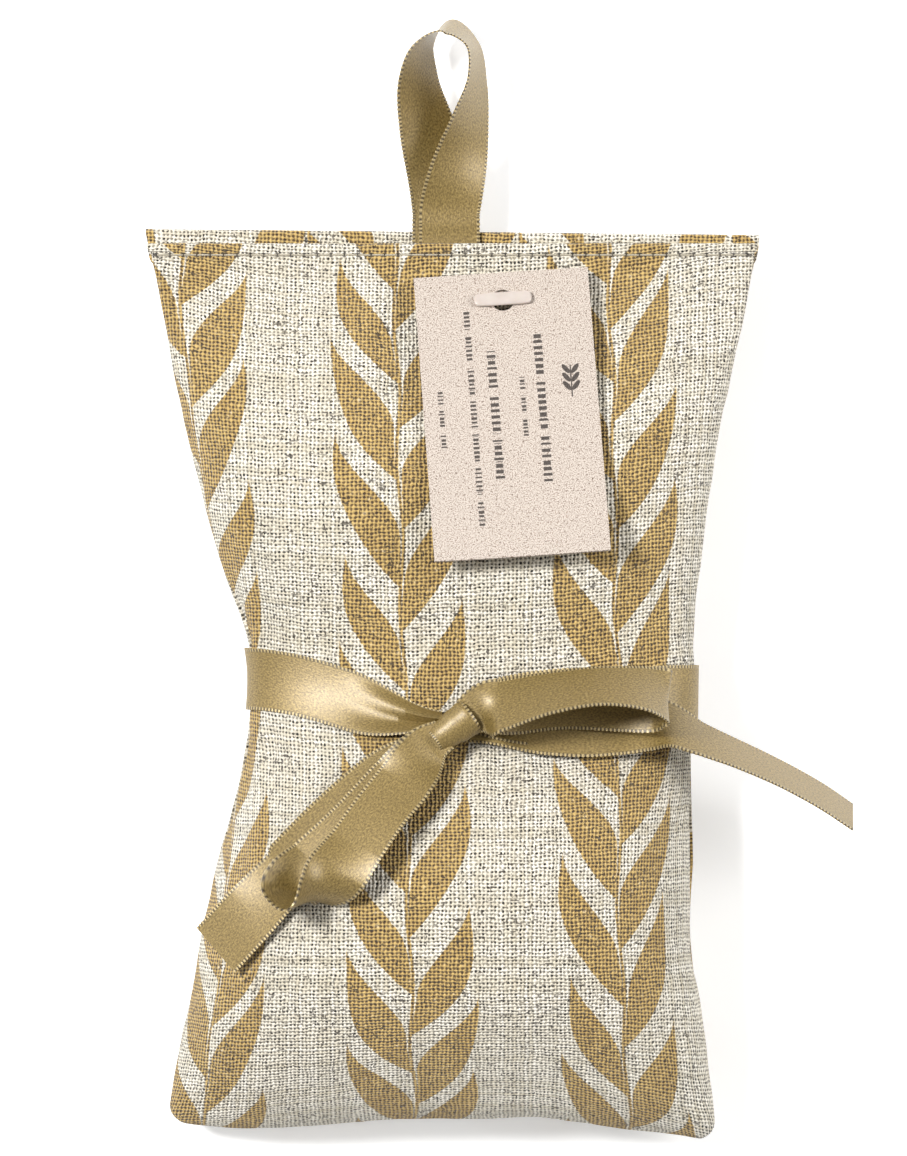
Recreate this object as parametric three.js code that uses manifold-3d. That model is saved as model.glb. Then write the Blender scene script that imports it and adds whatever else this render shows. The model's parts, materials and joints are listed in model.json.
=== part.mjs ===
// A lavender sachet lying on its back: a linen bag of dried lavender, closed by a topstitched hem that
// holds a satin hanging loop, tied round the waist with a satin bow, with a card tag on a plastic fastener.
// Millimetres. +Z is up out of the front, +Y runs towards the hanging loop. The origin is on the table,
// in the middle of the flat patch that the belly of the bag rests on.
import * as THREE from "three";
import Module from "manifold-3d";

const wasm = await Module();
wasm.setup();

// The bag: one row for each place along its length. left and right are the distances of the side seams
// from the middle, seam is the height of the seams, front and back are the rise of each panel from them,
// square is how boxy the cross-section is.
const BACK_TOP = 135.4;
const HEM_DEPTH = 6.4;
const HEM_FOOT = { y: BACK_TOP - HEM_DEPTH, left: 60.7, right: 61, seam: 9.4, front: 0, back: 0, square: 9 };
const CHEST = { y: 78, left: 49.4, right: 51, seam: 12.8, front: 16.8, back: 13.4, square: 2.7 };
const WAIST = { y: 46, left: 40.4, right: 48.6, seam: 14.4, front: 13.6, back: 11.2, square: 2.3 };
const BELLY = { y: 2, left: 48.8, right: 48.2, seam: 15, front: 29, back: 15.6, square: 2.3 };
const FOOT = { y: -45.6, left: 58, right: 53.6, seam: 9, front: 0, back: 0, square: 2.6 };
const TOP_LEFT = 62;
const TOP_RIGHT = 62;
const HEM_SPLAY = 0.3;
const HEM_STEP = 1.8;
const FRONT_TOP = BACK_TOP - HEM_STEP;
const FOOT_CORNER = 4;
const FOOT_LINE = [[-56, 2.4], [-40, 1], [-6, 2.8], [16, 2.7], [36, 0.6], [50, -1.4]];
const FOOT_LINE_FROM = -8;
const CLOTH = 0.8;
const SEAM_GAP = 0.3;
const FIT = 0.3;

// Ribbon, threads, fill
const RIBBON_WIDTH = 12;
const RIBBON = 0.5;
const THREAD = 0.5;
const STITCH_PITCH = 2.7;
const STITCH_INSET = 2.4;
const STITCH_Y = FRONT_TOP - STITCH_INSET;
const STITCH_MARGIN = 1.6;
const FILL_TOP = 117;
const FILL_GAP = 0.4;
const FILL_INSET = 2.4;

// Hanging loop
const LOOP_X = -1.4;
const LOOP_SPREAD = 13;
const LOOP_TUCK = 6;
const LOOP_HINGE = 1.1;
const LOOP_FLEX = 0.85;

// Bow
const KNOT_X = 0;
const KNOT_Y = 36.4;
const KNOT_LENGTH = 9;
const KNOT_RADIUS = 3.7;
const KNOT_FLAT = 0.85;
const KNOT_TURN = 35;
const BOW_REACH = 42.6;
const BAND_DROP = 8.2;
const BAND_SLANT = 3.5;
const BAND_PINCH = 3.6;
const BAND_LIFT = 0.65;
const TAIL_LIFT = 1.6;
const ROOT_WIDTH = 6.5;
const ROOT_FLEX = 1.1;
const ROOT_SPLIT = 0.8;
const LOOP_LIFT = 3;
const TAIL_FLEX = 1.4;

// Tag and its fastener
const TAG_X = 9.7;
const TAG_DROP = 6;
const TAG_Y = STITCH_Y - TAG_DROP;
const TAG_WIDTH = 35;
const TAG_LENGTH = 61;
const TAG_CARD = 0.6;
const TAG_HOLE = 4.6;
const TAG_HOLE_INSET = 6;
const TAG_ABOVE = 0.8;
const TAG_TURN = 4;
const TAG_SWING = 20;
const TAG_CLEAR = 0.5;
const PADDLE_LENGTH = 11.6;
const PADDLE_WIDTH = 2.8;
const PADDLE = 1;
const FILAMENT = 0.9;
const T_BAR = 0.9;
const T_BAR_LENGTH = 8;

const linen = { color: 0xd7cfba, roughness: 0.92, metalness: 0 };
const satin = { color: 0xa88f5a, roughness: 0.42, metalness: 0 };
const thread = { color: 0xe9e3d3, roughness: 0.8, metalness: 0 };
const card = { color: 0xe6d8cc, roughness: 0.85, metalness: 0 };
const plastic = { color: 0xeee2d4, roughness: 0.45, metalness: 0 };
const buds = { color: 0x76688a, roughness: 0.95, metalness: 0 };

const group = new THREE.Group();
group.name = "lavender_sachet";

function add(name, geometry, look) {
  const mesh = new THREE.Mesh(geometry, new THREE.MeshStandardMaterial(look));
  mesh.name = name;
  group.add(mesh);
  return mesh;
}

// A smooth curve through [place, value] pairs that never swings past its points.
function through(points, endSlope) {
  const slope = points.map((p, i) => {
    if (i === points.length - 1) return endSlope ?? null;
    if (i === 0) return null;
    const a = (p[1] - points[i - 1][1]) / (p[0] - points[i - 1][0]);
    const b = (points[i + 1][1] - p[1]) / (points[i + 1][0] - p[0]);
    return a * b <= 0 ? 0 : (2 * a * b) / (a + b);
  });
  return (at) => {
    const last = points.length - 1;
    let i = 0;
    while (i < last - 1 && at > points[i + 1][0]) i += 1;
    const [x0, v0] = points[i];
    const [x1, v1] = points[i + 1];
    const step = (v1 - v0) / (x1 - x0);
    if (at <= points[0][0]) return points[0][1];
    if (at >= points[last][0]) return points[last][1];
    const s0 = slope[i] ?? step;
    const s1 = slope[i + 1] ?? step;
    const t = (at - x0) / (x1 - x0);
    const h = x1 - x0;
    return (2 * t ** 3 - 3 * t ** 2 + 1) * v0 + (t ** 3 - 2 * t ** 2 + t) * h * s0
      + (3 * t ** 2 - 2 * t ** 3) * v1 + (t ** 3 - t ** 2) * h * s1;
  };
}

const rows = [FOOT, BELLY, WAIST, CHEST, HEM_FOOT];
const along = (key, top) => through([
  ...rows.map((row) => [row.y, row[key]]),
  [BACK_TOP, top ?? HEM_FOOT[key]],
]);
const leftSeam = along("left", TOP_LEFT);
const rightSeam = along("right", TOP_RIGHT);
const seamHeight = along("seam");
const squareness = along("square");
const upperRise = {
  front: through(rows.map((row) => [row.y, row.front]), -HEM_SPLAY),
  back: through(rows.map((row) => [row.y, row.back]), -HEM_SPLAY),
};

// The foot of the bag is a round pillow end, the rest follows the rows.
function rise(side, y) {
  if (y >= BELLY.y) return upperRise[side](y);
  const r = Math.min(1, (BELLY.y - y) / (BELLY.y - FOOT.y));
  return BELLY[side] * (1 - r ** 2.5) ** 0.55;
}

function cornerInset(y) {
  const d = FOOT_CORNER - (y - FOOT.y);
  return d <= 0 ? 0 : FOOT_CORNER - Math.sqrt(Math.max(0, FOOT_CORNER ** 2 - d ** 2));
}

const xAt = (share, y, inset) => {
  const left = -leftSeam(y) + cornerInset(y) + inset;
  const right = rightSeam(y) - cornerInset(y) - inset;
  return left + ((share + 1) / 2) * (right - left);
};
const shareAt = (x, y) => {
  const left = xAt(-1, y, 0);
  const right = xAt(1, y, 0);
  return Math.max(-1, Math.min(1, (2 * (x - left)) / (right - left) - 1));
};
const bulge = (share, square) => (1 - Math.abs(share) ** square) ** 0.54;

// The hem opens a little where the ends of the hanging loop are sewn in.
function tuckLift(x, y) {
  const reach = Math.abs(x - LOOP_X) - LOOP_SPREAD / 2;
  const across = 1 - THREE.MathUtils.smoothstep(reach, 0.4, 2);
  const down = THREE.MathUtils.smoothstep(y, BACK_TOP - LOOP_TUCK - 3, BACK_TOP - LOOP_TUCK - 1);
  return (RIBBON + FIT - SEAM_GAP / 2) * across * down;
}

const plies = (y) => CLOTH * (1 + THREE.MathUtils.smoothstep(y, HEM_FOOT.y - 1, HEM_FOOT.y + 1));
const frontPlane = (x, y) => seamHeight(y) + SEAM_GAP / 2 + tuckLift(x, y);
const backPlane = (x, y) => seamHeight(y) - SEAM_GAP / 2 - tuckLift(x, y);
const frontRise = (share, y) => rise("front", y) * bulge(share, squareness(y));
const backRise = (share, y) => rise("back", y) * bulge(share, squareness(y) + 0.9);

// Height of the front of the bag at a place in plan.
function frontZ(x, y) {
  const yy = Math.max(FOOT.y, Math.min(FRONT_TOP, y));
  return frontPlane(x, yy) + plies(yy) + frontRise(shareAt(x, yy), yy);
}
function backZ(x, y) {
  const yy = Math.max(FOOT.y, Math.min(BACK_TOP, y));
  return Math.max(0, backPlane(x, yy) - plies(yy) - backRise(shareAt(x, yy), yy));
}

// The foot seam is not quite straight: it sags towards the right corner.
const footLine = through(FOOT_LINE);
function sagged(geometry) {
  const at = geometry.attributes.position;
  for (let i = 0; i < at.count; i += 1) {
    const share = THREE.MathUtils.smoothstep(-at.getY(i), -FOOT_LINE_FROM, -FOOT.y);
    at.setY(i, at.getY(i) + share * footLine(at.getX(i)));
  }
  geometry.computeVertexNormals();
  return geometry;
}

function soup(triangles) {
  const geometry = new THREE.BufferGeometry();
  const flat = new Float32Array(triangles.length * 9);
  let volume = 0;
  triangles.forEach(([a, b, c]) => { volume += a.dot(new THREE.Vector3().crossVectors(b, c)); });
  triangles.forEach(([a, b, c], i) => {
    const turned = volume < 0 ? [a, c, b] : [a, b, c];
    turned.forEach((p, k) => flat.set([p.x, p.y, p.z], i * 9 + k * 3));
  });
  geometry.setAttribute("position", new THREE.BufferAttribute(flat, 3));
  geometry.computeVertexNormals();
  return geometry;
}

function quad(list, a, b, c, d) {
  list.push([a, b, c], [a, c, d]);
}

function rimOf(grid) {
  const last = grid.length - 1;
  const end = grid[0].length - 1;
  return [
    ...grid[0].slice(0, end),
    ...grid.slice(0, last).map((row) => row[end]),
    ...grid[last].slice(1).reverse(),
    ...grid.slice(1).map((row) => row[0]).reverse(),
  ];
}

// A closed skin from an upper grid, a lower grid and the loops of points that join their edges.
function closed(upper, lower, ...loops) {
  const faces = [];
  for (let i = 0; i + 1 < upper.length; i += 1) {
    for (let j = 0; j + 1 < upper[0].length; j += 1) {
      quad(faces, upper[i][j], upper[i][j + 1], upper[i + 1][j + 1], upper[i + 1][j]);
      quad(faces, lower[i][j], lower[i + 1][j], lower[i + 1][j + 1], lower[i][j + 1]);
    }
  }
  const rings = [rimOf(upper), ...loops, rimOf(lower)];
  for (let k = 0; k + 1 < rings.length; k += 1) {
    rings[k].forEach((p, i) => {
      const n = (i + 1) % rings[k].length;
      if (p.distanceTo(rings[k + 1][i]) < 1e-6) return;
      quad(faces, p, rings[k + 1][i], rings[k + 1][n], rings[k][n]);
    });
  }
  return soup(faces);
}

// A sheet of even thickness about a grid of points.
function sheet(grid, thickness) {
  const at = (i, j) => grid[Math.max(0, Math.min(grid.length - 1, i))][Math.max(0, Math.min(grid[0].length - 1, j))];
  const offset = (sign) => grid.map((row, i) => row.map((p, j) => {
    const u = at(i + 1, j).clone().sub(at(i - 1, j));
    const v = at(i, j + 1).clone().sub(at(i, j - 1));
    return p.clone().addScaledVector(u.cross(v).normalize(), (sign * thickness) / 2);
  }));
  return closed(offset(1), offset(-1));
}

// Ribbon along a route of [x, y, z, across] points; across is the direction of its width.
function ribbon(route, samples, width) {
  const centre = new THREE.CatmullRomCurve3(route.map((r) => new THREE.Vector3(r[0], r[1], r[2])));
  const across = new THREE.CatmullRomCurve3(route.map((r) => new THREE.Vector3(...r[3])));
  const grid = [];
  for (let i = 0; i <= samples; i += 1) {
    const t = i / samples;
    const p = centre.getPoint(t);
    const forward = centre.getTangent(t);
    const a = across.getPoint(t);
    a.addScaledVector(forward, -a.dot(forward)).normalize();
    grid.push([-0.5, 0, 0.5].map((c) => p.clone().addScaledVector(a, c * width(t))));
  }
  return grid;
}

// Ribbon that lies on the front of the bag along a route of [x, y, lift] points.
function laid(route, samples, width) {
  const centre = new THREE.CatmullRomCurve3(route.map((r) => new THREE.Vector3(...r)));
  const grid = [];
  for (let i = 0; i <= samples; i += 1) {
    const t = i / samples;
    const p = centre.getPoint(t);
    const forward = centre.getTangent(t).setZ(0).normalize();
    grid.push([-0.5, -0.25, 0, 0.25, 0.5].map((c) => {
      const x = p.x - forward.y * c * width(t);
      const y = p.y + forward.x * c * width(t);
      return new THREE.Vector3(x, y, frontZ(x, y) + p.z);
    }));
  }
  return grid;
}

function tube(points, radius, samples) {
  const round = new THREE.Shape();
  round.absarc(0, 0, radius, 0, 2 * Math.PI, false);
  return new THREE.ExtrudeGeometry(round, {
    steps: samples, curveSegments: 3, bevelEnabled: false, extrudePath: new THREE.CatmullRomCurve3(points),
  });
}

function solidOf(geometry) {
  const plain = geometry.index ? geometry.toNonIndexed() : geometry;
  const mesh = new wasm.Mesh({
    numProp: 3,
    vertProperties: new Float32Array(plain.attributes.position.array),
    triVerts: Uint32Array.from({ length: plain.attributes.position.count }, (_, i) => i),
  });
  mesh.merge();
  return new wasm.Manifold(mesh);
}

function geometryOf(solid) {
  const mesh = solid.getMesh();
  const geometry = new THREE.BufferGeometry();
  const points = new Float32Array(mesh.numVert * 3);
  for (let i = 0; i < mesh.numVert; i += 1) {
    for (let k = 0; k < 3; k += 1) points[i * 3 + k] = mesh.vertProperties[i * mesh.numProp + k];
  }
  geometry.setAttribute("position", new THREE.BufferAttribute(points, 3));
  geometry.setIndex(new THREE.BufferAttribute(new Uint32Array(mesh.triVerts), 1));
  const flat = geometry.toNonIndexed();
  flat.computeVertexNormals();
  return flat;
}

// Columns crowd towards the side seams, and there are a few more beside the hanging loop's sewn ends.
const COLUMNS = 18;
const eased = (from, to, count) => Array.from({ length: count + 1 }, (_, i) => {
  const edge = Math.asin(to);
  const start = Math.asin(from);
  return Math.sin(start + (i / count) * (edge - start));
});
const spread = eased(-1, 1, COLUMNS);
const beside = [-2, -0.4, 0.4, 2].map((d) => {
  const side = Math.sign(d);
  return shareAt(LOOP_X + side * LOOP_SPREAD / 2 + (side * (Math.abs(d) === 2 ? 2 : 0.4)), STITCH_Y);
});
const shares = [...spread.filter((s) => beside.every((b) => Math.abs(b - s) > 0.012)), ...beside].sort((a, b) => a - b);

function lengths(from, to, top) {
  const pillow = [0, 0.015, 0.05, 0.11, 0.2, 0.32, 0.48, 0.68].map((s) => from + s * (BELLY.y - from));
  const upper = [0, 0.09, 0.17, 0.24, 0.29, 0.33, 0.37, 0.41, 0.46, 0.53, 0.61, 0.7, 0.79, 0.87, 0.94]
    .map((s) => BELLY.y + s * ((top ? HEM_FOOT.y - 1.2 : to) - BELLY.y));
  const hem = top ? [HEM_FOOT.y - 1.2, HEM_FOOT.y + 1.2, BACK_TOP - LOOP_TUCK - 1 + 1.6] : [];
  return [...pillow, ...upper, ...hem, to];
}

function panel(top, plane, height, floor) {
  const outer = lengths(FOOT.y, top, true).map((y) => shares.map((s) => {
    const x = xAt(s, y, 0);
    return new THREE.Vector3(x, y, height(x, y));
  }));
  const inner = lengths(FOOT.y + CLOTH, top - CLOTH, true).map((y) => shares.map((s) => {
    const x = xAt(s, y, CLOTH);
    return new THREE.Vector3(x, y, floor(x, s, y));
  }));
  const seam = rimOf(outer).map((p) => new THREE.Vector3(p.x, p.y, plane(p.x, p.y)));
  return closed(outer, inner, seam);
}

// Tag: it hangs from the needle hole near its top edge, leans on the swell of the bag below and can
// swing over the hem above.
const pierce = new THREE.Vector3(TAG_X, TAG_Y, frontZ(TAG_X, TAG_Y) - CLOTH / 2);
const swell = (d) => Math.max(...[-0.5, 0, 0.5].map((side) => frontZ(TAG_X + side * TAG_WIDTH, TAG_Y - d)))
  + TAG_CLEAR - frontZ(TAG_X, TAG_Y);
const reach = TAG_ABOVE + (TAG_WIDTH / 2) * Math.sin(THREE.MathUtils.degToRad(TAG_SWING + TAG_TURN));
let lean = 0;
let standoff = 2 * FIT + FILAMENT + TAG_CLEAR;
for (let pass = 0; pass < 6; pass += 1) {
  lean = 0;
  for (let d = 4; d <= TAG_LENGTH - TAG_ABOVE; d += 2) lean = Math.max(lean, Math.atan2(swell(d) - standoff, d));
  for (let d = 0; d <= reach; d += 1) standoff = Math.max(standoff, swell(-d) + d * Math.tan(lean));
}
const hang = new THREE.Matrix4().makeTranslation(pierce.x, pierce.y, pierce.z)
  .multiply(new THREE.Matrix4().makeRotationX(-lean))
  .multiply(new THREE.Matrix4().makeRotationZ(THREE.MathUtils.degToRad(TAG_TURN)));
const tagLevel = (CLOTH / 2 + standoff) * Math.cos(lean);

const frontPanel = panel(
  FRONT_TOP, frontPlane, frontZ,
  (x, s, y) => frontPlane(x, y) + frontRise(s, y),
);
const needleHole = new THREE.CylinderGeometry(FILAMENT / 2 + FIT, FILAMENT / 2 + FIT, 4 * CLOTH, 12);
needleHole.rotateX(Math.PI / 2);
needleHole.applyMatrix4(hang);
add("front_panel", sagged(geometryOf(solidOf(frontPanel).subtract(solidOf(needleHole)))), linen);
add("back_panel", sagged(panel(
  BACK_TOP, backPlane, backZ,
  (x, s, y) => Math.max(CLOTH, backPlane(x, y) - backRise(s, y)),
)), linen);

// Lavender fill: one loose mass that fills the bag up to below the hem.
const taper = (y) => Math.sqrt(Math.max(0, 1 - Math.max(0, (y - CHEST.y) / (FILL_TOP - CHEST.y)) ** 2));
const coarse = eased(-1, 1, 12);
const fillGrid = (height) => lengths(FOOT.y + FILL_INSET, FILL_TOP, false).map((y, i, all) => coarse.map((s, j) => {
  const rim = i === 0 || i === all.length - 1 || j === 0 || j === coarse.length - 1;
  return new THREE.Vector3(xAt(s, y, FILL_INSET), y, rim ? seamHeight(y) : height(s, y));
}));
add("lavender_fill", sagged(closed(
  fillGrid((s, y) => seamHeight(y) + Math.max(0.1, taper(y) * frontRise(s, y) - FILL_GAP)),
  fillGrid((s, y) => Math.max(CLOTH + FILL_GAP, seamHeight(y) - Math.max(0.1, taper(y) * backRise(s, y) - FILL_GAP))),
)), buds);

// Hem: needle thread on the front, bobbin thread on the back, ribbon ends between.
function stitchRow(lift) {
  const from = xAt(-1, STITCH_Y, 0) + STITCH_MARGIN;
  const count = Math.floor((xAt(1, STITCH_Y, 0) - STITCH_MARGIN - from) / STITCH_PITCH);
  const points = [];
  for (let i = 0; i <= 2 * count; i += 1) {
    const x = from + (i * STITCH_PITCH) / 2;
    points.push(new THREE.Vector3(x, STITCH_Y, lift(x, i % 2 === 0 ? 0 : 0.25)));
  }
  return tube(points, THREAD / 2, points.length - 1);
}
add("top_stitch_front", stitchRow((x, up) => frontZ(x, STITCH_Y) + FIT + THREAD / 2 + up), thread);
add("top_stitch_back", stitchRow((x, up) => backZ(x, STITCH_Y) - FIT - THREAD / 2 - up), thread);
const hemMiddle = seamHeight(BACK_TOP);
const sewnEnds = new THREE.BoxGeometry(LOOP_SPREAD, LOOP_TUCK + LOOP_HINGE, 2 * RIBBON);
sewnEnds.translate(LOOP_X, BACK_TOP + (LOOP_HINGE - LOOP_TUCK) / 2, hemMiddle);
add("loop_sewn_ends", sewnEnds, satin);

// Hanging loop: up from the hem at the back, over in a ring that stands on edge, down in front.
const loopFoot = BACK_TOP + LOOP_HINGE + LOOP_FLEX;
const turn = (degrees, forward) => {
  const a = THREE.MathUtils.degToRad(degrees);
  return [Math.cos(a), forward, -Math.sin(a)];
};
const loopRoute = [
  [-0.6, 0, -0.65, turn(0, 0)],
  [-0.6, 2.5, -0.7, turn(0, 0)],
  [-1.6, 10, -0.9, turn(4, 0)],
  [-3.6, 19, -0.6, turn(22, 0)],
  [-5.4, 28.5, 0.2, turn(48, 0)],
  [-4.2, 36, 0.8, turn(68, 0.15)],
  [0.4, 39.8, 1.3, turn(76, 0.3)],
  [5.4, 36.2, 1.8, turn(78, 0.1)],
  [6.4, 29, 2.2, turn(72, 0)],
  [4.8, 20, 2.2, turn(50, 0)],
  [2.2, 9.5, 1.7, turn(18, 0)],
  [0.8, 2.5, 0.75, turn(0, 0)],
  [0.8, 0, 0.65, turn(0, 0)],
].map(([x, y, z, across]) => [LOOP_X + x, loopFoot + y, hemMiddle + z, across]);
add("hanging_loop", sheet(ribbon(loopRoute, 44, () => RIBBON_WIDTH), RIBBON), satin);

// Seam threads, just inside the edges of the panels.
const threadInset = CLOTH + FIT + THREAD / 2;
const seamRun = (side) => Array.from({ length: 13 }, (_, i) => {
  const y = FOOT.y + FOOT_CORNER + 3 + (i / 12) * (HEM_FOOT.y - FOOT.y - FOOT_CORNER - 18);
  return new THREE.Vector3(xAt(side, y, threadInset), y, seamHeight(y));
});
add("side_seam_thread_left", sagged(tube(seamRun(-1), THREAD / 2, 20)), thread);
add("side_seam_thread_right", sagged(tube(seamRun(1), THREAD / 2, 20)), thread);
add("bottom_seam_thread", sagged(tube([-0.86, -0.5, 0, 0.5, 0.86].map((s) => {
  const y = FOOT.y + threadInset;
  return new THREE.Vector3(xAt(s, y, 0), y, seamHeight(y));
}), THREAD / 2, 16)), thread);

// Waist ribbon: from the knot round the left side, under the bag and up the right side to the knot.
const slant = (x) => BAND_SLANT * Math.min(1, Math.max(0, x / rightSeam(WAIST.y)));
const bandY = (x) => {
  const half = x < 0 ? leftSeam(WAIST.y) : rightSeam(WAIST.y);
  return WAIST.y - slant(x) - BAND_DROP * Math.cos((Math.PI / 2) * Math.min(1, Math.abs(x) / half)) ** 2;
};
const knotShare = shareAt(KNOT_X, WAIST.y);
const wrap = [
  ...eased(knotShare - 0.04, -1, 14).map((s) => [s, frontZ, 1]),
  ...eased(-1, 1, 24).map((s) => [s, backZ, -1]),
  ...eased(1, knotShare + 0.04, 14).map((s) => [s, frontZ, 1]),
];
const bandGrid = wrap.map(([s, height, up]) => {
  const x0 = xAt(s, WAIST.y, 0);
  const middle = up > 0 ? bandY(x0) : WAIST.y - slant(x0);
  const near = up > 0 ? THREE.MathUtils.smoothstep(Math.abs(x0 - KNOT_X), 1, 20) : 1;
  const width = BAND_PINCH + (RIBBON_WIDTH - BAND_PINCH) * near;
  return [-0.5, -0.25, 0, 0.25, 0.5].map((c) => {
    const y = middle + c * width;
    const x = xAt(s, y, 0);
    const edge = Math.abs(s) > 0.9999;
    const step = 0.004;
    const a = Math.max(-1, s - step);
    const b = Math.min(1, s + step);
    const run = xAt(b, y, 0) - xAt(a, y, 0);
    const fall = height(xAt(b, y, 0), y) - height(xAt(a, y, 0), y);
    const normal = edge ? new THREE.Vector3(s, 0, 0) : new THREE.Vector3(-fall, 0, run).multiplyScalar(up).normalize();
    return new THREE.Vector3(x, y, height(x, y)).addScaledVector(normal, BAND_LIFT);
  });
});
add("waist_band", sheet(bandGrid, RIBBON), satin);

// Knot: the ribbon's tight wrap round the crossing, a short barrel that lies askew on the tails.
const barrel = [[0, -0.5], [0.62, -0.5], [0.86, -0.36], [1, -0.12], [1, 0.12], [0.86, 0.36], [0.62, 0.5], [0, 0.5]];
const axis = new THREE.Vector2(1, 0).rotateAround(new THREE.Vector2(), THREE.MathUtils.degToRad(KNOT_TURN));
let knotZ = 0;
barrel.forEach(([r, h]) => [-0.9, -0.6, -0.3, 0, 0.3, 0.6, 0.9].forEach((side) => {
  const out = side * r * KNOT_RADIUS;
  const x = KNOT_X + axis.x * h * KNOT_LENGTH - axis.y * out;
  const y = KNOT_Y + axis.y * h * KNOT_LENGTH + axis.x * out;
  const sag = KNOT_FLAT * r * KNOT_RADIUS * Math.sqrt(1 - side ** 2);
  knotZ = Math.max(knotZ, frontZ(x, y) + TAIL_LIFT + RIBBON / 2 + FIT + sag);
}));
const knot = new THREE.LatheGeometry(barrel.map(([r, h]) => new THREE.Vector2(r * KNOT_RADIUS, h * KNOT_LENGTH)), 18);
knot.rotateZ(-Math.PI / 2);
knot.scale(1, 1, KNOT_FLAT);
knot.rotateZ(THREE.MathUtils.degToRad(KNOT_TURN));
knot.translate(KNOT_X, KNOT_Y, knotZ);
add("bow_knot", knot, satin);

// Ends of the knot, from which the loops and tails leave. Places on the bow are given from the knot, for a
// right loop that reaches 42.6 from it.
const bow = BOW_REACH / 42.6;
const knotEnd = (side, gap) => [
  KNOT_X + side * axis.x * (KNOT_LENGTH / 2 + gap), KNOT_Y + side * axis.y * (KNOT_LENGTH / 2 + gap),
];
const overBag = (x, y, lift, across, tilt) => {
  const px = KNOT_X + bow * x;
  const py = KNOT_Y + bow * y;
  const d = new THREE.Vector2(...across).normalize();
  const slope = (frontZ(px + 4 * d.x, py + 4 * d.y) - frontZ(px - 4 * d.x, py - 4 * d.y)) / 8;
  return [px, py, frontZ(px, py) + lift, [d.x, d.y, slope + (tilt ?? 0)]];
};
const inAir = (x, y, up, across) => [KNOT_X + bow * x, KNOT_Y + bow * y, knotZ + bow * up, across];
const pinched = (span) => (t) => {
  const near = Math.min(1, Math.min(t, 1 - t) / span);
  return ROOT_WIDTH + (RIBBON_WIDTH - ROOT_WIDTH) * THREE.MathUtils.smoothstep(near, 0, 1);
};
const rootPoint = (side, up, across) => {
  const [x, y] = knotEnd(side, FIT + ROOT_FLEX);
  return [x, y, knotZ + up, across];
};

const rightAcross = [-0.57, 0.82, 0];
add("bow_loop_right", sheet(ribbon([
  rootPoint(1, ROOT_SPLIT, rightAcross),
  inAir(9.5, 4.6, 3.2, [-0.1, 0.8, -0.55]),
  inAir(19, 7.1, 5.4, [-0.05, 0.66, -0.75]),
  inAir(29, 8.5, 5.2, [0, 0.6, -0.8]),
  inAir(38, 7.8, 2.6, [0.05, 0.64, -0.76]),
  inAir(42.6, 6, -2, [0.1, 0.75, -0.6]),
  overBag(39.6, 5.2, LOOP_LIFT + 6, [0, 1], -0.1),
  overBag(33, 5.4, LOOP_LIFT + 2.4, [0, 1]),
  overBag(22, 5.8, LOOP_LIFT + 0.4, [0, 1]),
  overBag(12, 4.6, LOOP_LIFT + 0.5, [-0.2, 1]),
  rootPoint(1, -ROOT_SPLIT, rightAcross),
], 44, pinched(0.16)), RIBBON), satin);

const leftAcross = [-0.72, 0.7, 0];
add("bow_loop_left", sheet(ribbon([
  rootPoint(-1, ROOT_SPLIT, [-0.57, 0.82, 0]),
  overBag(-9.4, -10.2, LOOP_LIFT + 2.6, [-0.8, 0.6], -0.12),
  overBag(-14.2, -16.1, LOOP_LIFT + 2.9, [-0.78, 0.63], -0.15),
  overBag(-18.8, -22.6, LOOP_LIFT + 3.2, [-0.78, 0.63], -0.08),
  overBag(-22.2, -27.2, LOOP_LIFT + 4, [-0.8, 0.6], 0.3),
  overBag(-25.5, -31.2, LOOP_LIFT + 3.8, [-1, 0.1], 0.85),
  overBag(-29.2, -34, LOOP_LIFT + 3.4, [-0.96, -0.28], 1.1),
  overBag(-32.2, -31.8, LOOP_LIFT + 1.5, [-1, 0.16], 0.75),
  overBag(-27.2, -26.6, LOOP_LIFT + 0.3, [-0.77, 0.63], 0.1),
  overBag(-19, -18.8, LOOP_LIFT, leftAcross),
  overBag(-10.6, -10, LOOP_LIFT, leftAcross),
  rootPoint(-1, -ROOT_SPLIT, [-0.57, 0.82, 0]),
], 44, pinched(0.16)), RIBBON), satin);

// Tails: the run that lies on the bag under the loop, then the end that can lift.
const oneEnd = (span) => (t) => ROOT_WIDTH
  + (RIBBON_WIDTH - ROOT_WIDTH) * THREE.MathUtils.smoothstep(Math.min(1, t / span), 0, 1);
const onBag = (points) => points.map(([x, y, lift]) => [KNOT_X + bow * x, KNOT_Y + bow * y, lift]);
add("bow_tail_right_run", sheet(ribbon([
  overBag(1, 0.4, TAIL_LIFT, [0, 1]),
  overBag(9, 0.8, TAIL_LIFT, [0, 1]),
  overBag(17, 0.7, TAIL_LIFT + 0.2, [0, 1], 0.05),
  overBag(26, 0.2, TAIL_LIFT + 0.4, [0, 1], 0.05),
  overBag(34, 0.6, TAIL_LIFT + 0.9, [0, 1], -0.08),
  overBag(39.5, 1, TAIL_LIFT + 2.6, [0, 1], -0.35),
  overBag(43.4, 0.6, TAIL_LIFT + 4.4, [0, 1], -0.8),
], 30, oneEnd(0.35)), RIBBON), satin);
add("bow_tail_left_run", sheet(laid(onBag([
  [-1.4, -1.4, TAIL_LIFT], [-9, -7, TAIL_LIFT], [-16.4, -12.8, TAIL_LIFT], [-24, -19.6, TAIL_LIFT],
  [-32, -27.8, TAIL_LIFT],
]), 24, oneEnd(0.4)), RIBBON), satin);
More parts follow.
